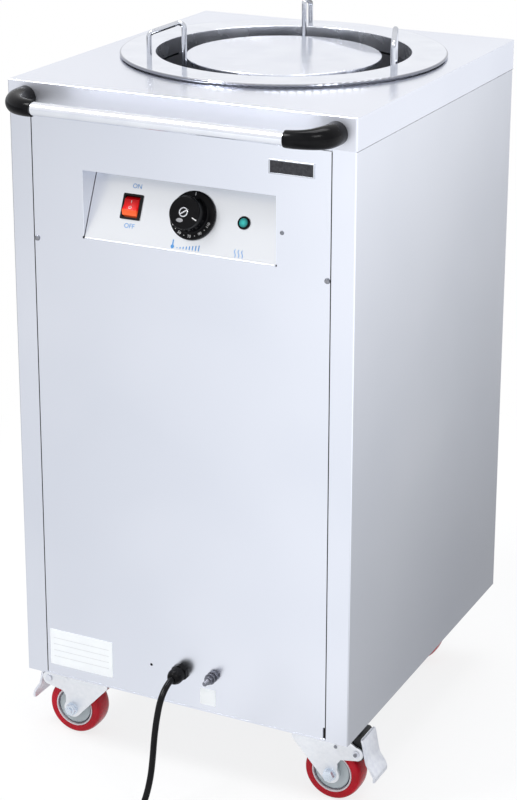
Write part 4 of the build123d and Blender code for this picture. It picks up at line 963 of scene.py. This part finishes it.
# %% Rivet and brake pivot of the right front fork
heads = []
for along_fork, rise, radius, proud in ((0.0325, 0.0775, 0.0024, 0.0208), (0.0595, 0.0735, 0.0024, 0.0232)):
    dot = turned("fork_dot", [(0.0, 0.0), (radius, 0.0), (radius * 0.9, 0.0004), (0.0, 0.0006)], 32)
    heads.append(settle(dot, plane_at((caster_x + along_fork, front_y - proud, rise))))
fork_dots = joined("front_right_fork_dots", heads, dull_screw)
smooth(fork_dots, 40)
belongs(fork_dots, "front_right_swivel", "rod_steel")

# %% [markdown]
# ## The lift spring
#
# A coil made of one bevelled line is turned into a mesh.

# %% Lift spring
spring = nodes["lift_spring"]
spring_corners = [spring.matrix_world @ Vector(corner) for corner in spring.bound_box]
depths, heights = [corner.y for corner in spring_corners], [corner.z for corner in spring_corners]
spring_low, spring_high = min(heights), max(heights)
spring_centre_y = (min(depths) + max(depths)) / 2
spring_wire, spring_coil, spring_turns, spring_steps = 0.00225, 0.045, 18, 24
lift_coil, coil_line = new_curve("lift_coil", "POLY")
coil_line.points.add(spring_turns * spring_steps)
for i, point in enumerate(coil_line.points):
    angle = 2 * pi * i / spring_steps
    share = i / (spring_turns * spring_steps)
    height = spring_low + spring_wire + (spring_high - spring_low - 2 * spring_wire) * share
    point.co = (spring_coil * cos(angle), spring_centre_y + spring_coil * sin(angle), height, 1.0)
lift_coil.data.bevel_depth = spring_wire
lift_coil.data.bevel_resolution = 2
pick(lift_coil)
bpy.ops.object.convert(target="MESH")
lift_coil = bpy.context.active_object
smooth(lift_coil, 40, spring_steel)
belongs(lift_coil, "cart", "spring_steel", "lift_spring")
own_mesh(lift_coil)

# %% [markdown]
# ## Gland, plug and earth stud
#
# The cord leaves through a plastic gland: a six-sided body against the panel, a ribbed dome nut that
# squeezes a seal, and a soft nose that keeps the cord from kinking. The ribs are made by moving every
# second pair of the flank's columns of points a little towards the axis.

# %% Cord gland
def prism(flats, low, high, chamfer=0.0008):
    """A six-sided nut with softened corners."""
    bpy.ops.mesh.primitive_cylinder_add(vertices=6, radius=flats / sqrt(3), depth=high - low,
                                        location=(0, 0, (high + low) / 2))
    nut = bpy.context.active_object
    bpy.ops.object.transform_apply(location=True)
    add_modifier(nut, "BEVEL", width=chamfer, segments=3, limit_method="ANGLE", angle_limit=radians(40))
    return apply_modifiers(nut)


hex_flats, rib_count, rib_gap = 0.0197, 24, 0.955
gland_hex = prism(hex_flats, 0.0, 0.0060)
dome_outline = rounded([(0.0075, 0.0056), (0.0094, 0.0060), (0.0098, 0.0074), (0.0098, 0.0156),
                        (0.0085, 0.0193), (0.0070, 0.0219), (0.0056, 0.0229), (0.0042, 0.0229),
                        (0.0040, 0.0215)], 0.0008)
gland_dome = turned("gland_dome", dome_outline)
for vertex in gland_dome.data.vertices:
    ring = sqrt(vertex.co.x ** 2 + vertex.co.y ** 2)
    place_in_rib = (atan2(vertex.co.y, vertex.co.x) / (2 * pi) * rib_count + 0.125) % 1.0
    if 0.0070 < vertex.co.z < 0.0170 and ring > 0.0086 and place_in_rib > 0.5:
        vertex.co.x *= rib_gap
        vertex.co.y *= rib_gap
shank_outline = [(0.0040, -0.011), (0.0078, -0.011), (0.0078, 0.0062), (0.0040, 0.0062)]
gland_shank = turned("gland_shank", shank_outline, 64)
gland_nut = prism(hex_flats, -0.0070, -0.0010)
gland = joined("cord_gland_moulded", [gland_hex, gland_dome, gland_shank, gland_nut], black_gloss)
smooth(gland)
settle(gland, on_front(gland_x, gland_z))
belongs(gland, "cart", "black_matte", "cord_gland")
print("gland faces", len(gland.data.polygons))

# %% Earth stud
thread = [(0.0, -0.0060), (0.0026, -0.0060), (0.0030, -0.0055)]
level = -0.0050
while level < 0.0210:
    thread += [(0.0030, level), (0.0026, level + 0.0005)]
    level += 0.0010
thread += [(0.0030, 0.0212), (0.0024, 0.0222), (0.0, 0.0222)]
stud_parts = [turned("stud_thread", thread, 48)]
for low in (0.0, 0.0066):
    high = low + 0.0016
    washer = rounded([(0.0031, low), (0.0070, low), (0.0070, high), (0.0031, high)], 0.0003, 2)
    stud_parts.append(turned("washer", washer, 48))
    stud_parts.append(prism(0.0100, high, low + 0.0066, 0.0006))
stud_parts.append(prism(0.0100, -0.0060, -0.0010, 0.0006))
stud = joined("earth_stud_threaded", stud_parts, stud_metal)
smooth(stud, 30)
settle(stud, on_front(0.0425, 0.1554))
belongs(stud, "cart", "rod_steel", "earth_stud")

# %% Plug
plug_place = plane_at((tail_x, plug_y, tail_z))
plug = block((0.0130, 0.0110, 0.0020), 0.0012)
edit("DESELECT")
leave_edit()
for face in plug.data.polygons:
    face.select = face.normal.z > 0.9
bpy.ops.object.mode_set(mode="EDIT")
plug_steps = [(0.0060, 1.15, 1.10), (0.0020, 1.0, 1.0), (0.0060, 2.20, 1.75), (0.0040, 1.06, 1.10),
              (0.0060, 0.97, 1.0), (0.0060, 0.97, 1.0), (0.0060, 1.04, 1.0), (0.0030, 1.0, 1.0)]
for rise, wide, high in plug_steps:
    bpy.ops.mesh.extrude_region_move(TRANSFORM_OT_translate={"value": (0, 0, rise)})
    bpy.ops.transform.resize(value=(wide, high, 1.0))
leave_edit()
add_modifier(plug, "BEVEL", width=0.0016, segments=2, limit_method="ANGLE", angle_limit=radians(30))
add_modifier(plug, "SUBSURF", levels=2, render_levels=2)
apply_modifiers(plug)
plug.name = plug.data.name = "plug_moulded"
smooth(plug, 60, black_satin)
settle(plug, plug_place)
belongs(plug, "cart", "cord_black", "plug_body")
print("plug size", [round(v, 4) for v in plug.dimensions])

mains_cord.data.materials.append(cord_rubber)
mains_cord.visible_glossy = False
plug.visible_glossy = False

# %% [markdown]
# ## Screw heads
#
# The two panel screws have a cross recess. A cross is two bars set across each other, laid on the
# head's face in grey, as the shaded recess looks from any distance.

# %% Cross recesses
crosses = []
for side in (-1, 1):
    for quarter in (20, 110):
        crosses.append(settle(flat_bar(0.0034, 0.0008, 0.0002),
                              on_front(side * 0.1905, 0.6843, 0.0016) @ spun(quarter)))
belongs(joined("screw_recesses", crosses, print_grey), "cart", "rod_steel")

# %% [markdown]
# ## Floor, air and light
#
# The cart stands on a pale sweep that the camera sees near white. The steel mirrors a graded glow
# instead, dim close to the cart's right side and brighter in front of it. The cart is lit at a plain
# level by a soft sky and three large lamps, so that the shadow stays.

# %% Floor
bpy.ops.mesh.primitive_plane_add(size=30.0, location=(0, 0, -0.0003))
floor = bpy.context.active_object
floor.name = "studio_floor"
floor_paint, tree, shader = new_finish("floor_paint", Roughness=0.9, Specular_IOR_Level=0.1)
drive(shader, Base_Color=two_tones(tree, noise(tree, 0.7), (0.86, 0.87, 0.89), (0.90, 0.905, 0.92)))
path = add_node(tree, "ShaderNodeLightPath")
white = add_node(tree, "ShaderNodeEmission", {"Color": (1.0, 1.0, 1.0, 1.0), "Strength": 1.0})
cleaner = spread(tree, off_axis(tree, (0, 0, 0), (0, 1, 0)), 0.80, 1.0, 0.55, 1.15)
whitened = calc(tree, "MULTIPLY", path.outputs["Is Camera Ray"], cleaner)
for_camera = add_node(tree, "ShaderNodeMixShader",
                      {0: whitened, 1: shader.outputs["BSDF"], 2: white.outputs["Emission"]})
floor_x = along(tree, (1, 0, 0))
floor_y = along(tree, (0, 1, 0))
beside = calc(tree, "MULTIPLY_ADD", floor_y, -0.28, calc(tree, "MULTIPLY_ADD", floor_x, 1.166, 0.09))
before = calc(tree, "MULTIPLY_ADD", floor_y, -0.24, calc(tree, "MULTIPLY_ADD", floor_x, 0.40, 0.96))
is_beside = spread(tree, floor_x, 0.0, 1.0, 0.10, 0.30)
fall = calc(tree, "ADD", calc(tree, "MULTIPLY", beside, is_beside),
            calc(tree, "MULTIPLY", before, calc(tree, "SUBTRACT", 1.0, is_beside)))
fall = calc(tree, "MINIMUM", calc(tree, "MAXIMUM", fall, 0.35), 1.55)
mirror_glow = add_node(tree, "ShaderNodeEmission", {"Color": (0.97, 0.985, 1.0, 1.0), "Strength": fall})
mirrored = calc(tree, "MULTIPLY", path.outputs["Is Glossy Ray"], 0.88)
blend = add_node(tree, "ShaderNodeMixShader", {0: mirrored, 1: for_camera.outputs["Shader"],
                                               2: mirror_glow.outputs["Emission"]})
tree.links.new(blend.outputs["Shader"], tree.nodes["Material Output"].inputs["Surface"])
floor.data.materials.append(floor_paint)
print("floor", floor.name)

# %% Sky
sky = bpy.data.worlds.new("studio_sky")
bpy.context.scene.world = sky
sky.use_nodes = True
tree = sky.node_tree
background = tree.nodes["Background"]
path = add_node(tree, "ShaderNodeLightPath")
plain = calc(tree, "MAXIMUM", path.outputs["Is Camera Ray"],
             calc(tree, "MAXIMUM", path.outputs["Is Glossy Ray"], path.outputs["Is Transmission Ray"]))
strength = calc(tree, "MULTIPLY_ADD", plain, 0.42, 0.58)
direction = add_node(tree, "ShaderNodeTexCoord").outputs["Generated"]
height = add_node(tree, "ShaderNodeSeparateXYZ", {0: direction}).outputs["Z"]
drive(background, Strength=strength,
      Color=two_tones(tree, height, (0.90, 0.92, 0.97), (1.0, 1.0, 1.0), 0.0, 0.35))
print("sky", sky.name)

# %% Lamps
def softbox(name, place, aim, size, power, tint=(1.0, 1.0, 1.0)):
    """A square area lamp that looks at a point."""
    bpy.ops.object.light_add(type="AREA", location=place)
    lamp = bpy.context.active_object
    lamp.name = name
    lamp.data.size = size
    lamp.data.energy = power
    lamp.data.color = tint
    lamp.rotation_euler = (Vector(aim) - Vector(place)).to_track_quat("-Z", "Y").to_euler()
    return lamp


softbox("key_softbox", (-1.5, -1.5, 3.7), (0, 0, 0.5), 1.3, 85.0)
softbox("top_softbox", (0.3, 0.9, 3.9), (0, 0, 0.6), 1.6, 50.0, (0.97, 0.98, 1.0))
softbox("side_softbox", (2.6, -1.6, 3.4), (0.2, 0, 0.7), 1.0, 30.0)
print("lamps ready")

# %% Set the view transform
bpy.context.scene.view_settings.view_transform = "Standard"
